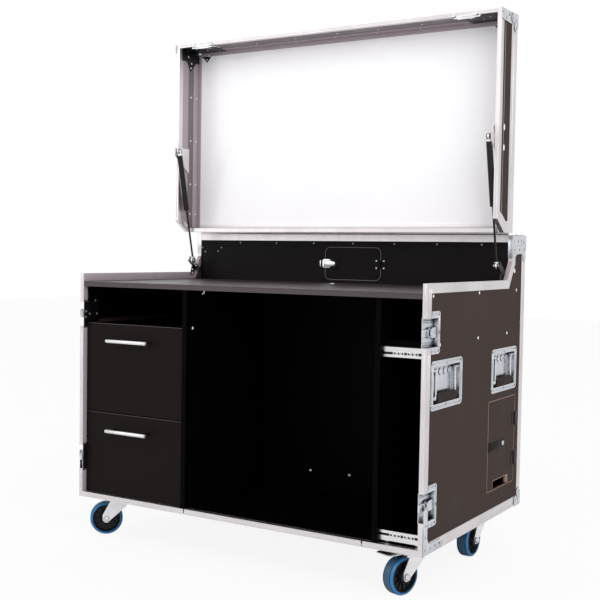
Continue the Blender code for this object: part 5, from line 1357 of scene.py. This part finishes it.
class ROADCASE_OT_stage(bpy.types.Operator):
    """Set the camera, the pale floor and the soft studio light"""

    bl_idname = "roadcase.stage"
    bl_label = "Studio"

    def execute(self, context):
        setup = context.scene.road_case_studio
        deselect_all()
        camera_data = bpy.data.cameras.new("camera")
        camera = bpy.data.objects.new("camera", camera_data)
        context.scene.collection.objects.link(camera)
        yaw, pitch, roll = setup.yaw, setup.pitch, setup.roll
        flat = math.cos(pitch)
        forward = Vector((-math.sin(yaw) * flat, math.cos(yaw) * flat, -math.sin(pitch)))
        level = Vector((math.cos(yaw), math.sin(yaw), 0.0))
        upright = level.cross(forward)
        right = level * math.cos(roll) + upright * math.sin(roll)
        up = upright * math.cos(roll) - level * math.sin(roll)
        turn = Matrix((right, up, -forward)).transposed().to_4x4()
        camera.matrix_world = Matrix.Translation(setup.camera_place) @ turn
        camera_data.lens = setup.lens
        camera_data.sensor_width = 36.0
        camera_data.shift_x = setup.shift_x
        context.scene.camera = camera
        bpy.ops.mesh.primitive_plane_add(size=24.0, location=(0.0, 0.0, 0.0))
        floor = bpy.context.active_object
        floor.name = "studio_floor"
        floor.data.materials.append(floor_finish())
        lamp("key_lamp", (3.2, -2.2, 2.6), (0.2, 0.0, 0.8), 2.6, setup.key_power)
        lamp("fill_lamp", (-2.6, -3.2, 2.2), (0.0, 0.0, 0.9), 2.6, setup.fill_power)
        lamp("board_lamp", (0.3, -2.4, 2.6), (0.0, 0.2, 1.25), 2.0, setup.board_power)
        make_sky(setup.sky)
        context.scene.view_settings.view_transform = "Standard"
        return {"FINISHED"}


def lamp(name, place, target, size, power):
    data = bpy.data.lights.new(name, "AREA")
    data.size = size
    data.energy = power
    obj = bpy.data.objects.new(name, data)
    bpy.context.scene.collection.objects.link(obj)
    aim = (Vector(target) - Vector(place)).to_track_quat("-Z", "Y")
    obj.matrix_world = Matrix.Translation(place) @ aim.to_matrix().to_4x4()


def floor_finish():
    """A pale floor that a camera sees as almost white, with the case's shadow left on it."""
    material = bpy.data.materials.new("studio_floor")
    material.use_nodes = True
    tree = material.node_tree
    surface = tree.nodes["Principled BSDF"]
    surface.inputs["Base Color"].default_value = (0.86, 0.86, 0.87, 1.0)
    surface.inputs["Roughness"].default_value = 0.9
    glow = tree.nodes.new("ShaderNodeEmission")
    path = tree.nodes.new("ShaderNodeLightPath")
    share = tree.nodes.new("ShaderNodeMath")
    share.operation = "MULTIPLY"
    share.inputs[1].default_value = 0.9
    tree.links.new(path.outputs["Is Camera Ray"], share.inputs[0])
    mix = tree.nodes.new("ShaderNodeMixShader")
    tree.links.new(share.outputs[0], mix.inputs[0])
    tree.links.new(surface.outputs["BSDF"], mix.inputs[1])
    tree.links.new(glow.outputs["Emission"], mix.inputs[2])
    tree.links.new(mix.outputs[0], tree.nodes["Material Output"].inputs["Surface"])
    return material


def make_sky(strength):
    """Even light all round. The camera, metal and glass see it white."""
    world = bpy.data.worlds.new("studio")
    bpy.context.scene.world = world
    world.use_nodes = True
    tree = world.node_tree
    background = tree.nodes["Background"]
    path = tree.nodes.new("ShaderNodeLightPath")
    seen = tree.nodes.new("ShaderNodeMath")
    seen.operation = "MAXIMUM"
    tree.links.new(path.outputs["Is Camera Ray"], seen.inputs[0])
    tree.links.new(path.outputs["Is Transmission Ray"], seen.inputs[1])
    level = tree.nodes.new("ShaderNodeMapRange")
    tree.links.new(seen.outputs[0], level.inputs["Value"])
    level.inputs["To Min"].default_value = strength
    level.inputs["To Max"].default_value = 1.0
    background.inputs["Color"].default_value = (1.0, 1.0, 1.0, 1.0)
    tree.links.new(level.outputs["Result"], background.inputs["Strength"])


OPERATORS = (
    ROADCASE_OT_finishes,
    ROADCASE_OT_castors,
    ROADCASE_OT_handles,
    ROADCASE_OT_latch_dishes,
    ROADCASE_OT_rivets,
    ROADCASE_OT_extrusions,
    ROADCASE_OT_drawer_bars,
    ROADCASE_OT_door_fittings,
    ROADCASE_OT_rack_rails,
    ROADCASE_OT_strut_ends,
    ROADCASE_OT_lid_lining,
    ROADCASE_OT_ball_corners,
    ROADCASE_OT_small_fittings,
    ROADCASE_OT_stage,
)


class ROADCASE_PT_panel(bpy.types.Panel):
    """Lists the steps that dress the case"""

    bl_idname = "ROADCASE_PT_panel"
    bl_label = "Road Case"
    bl_space_type = "VIEW_3D"
    bl_region_type = "UI"
    bl_category = "Road Case"

    def draw(self, context):
        for operator in OPERATORS:
            self.layout.operator(operator.bl_idname)


GROUPS = {
    "road_case_colours": RoadCaseColours,
    "road_case_sizes": RoadCaseSizes,
    "road_case_studio": RoadCaseStudio,
}


def register():
    for name, group in GROUPS.items():
        bpy.utils.register_class(group)
        setattr(bpy.types.Scene, name, bpy.props.PointerProperty(type=group))
    for item in (*OPERATORS, ROADCASE_PT_panel):
        bpy.utils.register_class(item)


def unregister():
    for item in (ROADCASE_PT_panel, *reversed(OPERATORS)):
        bpy.utils.unregister_class(item)
    for name, group in GROUPS.items():
        delattr(bpy.types.Scene, name)
        bpy.utils.unregister_class(group)


def main():
    register()
    for operator in OPERATORS:
        area, name = operator.bl_idname.split(".")
        getattr(getattr(bpy.ops, area), name)()
    deselect_all()


if __name__ == "__main__":
    main()
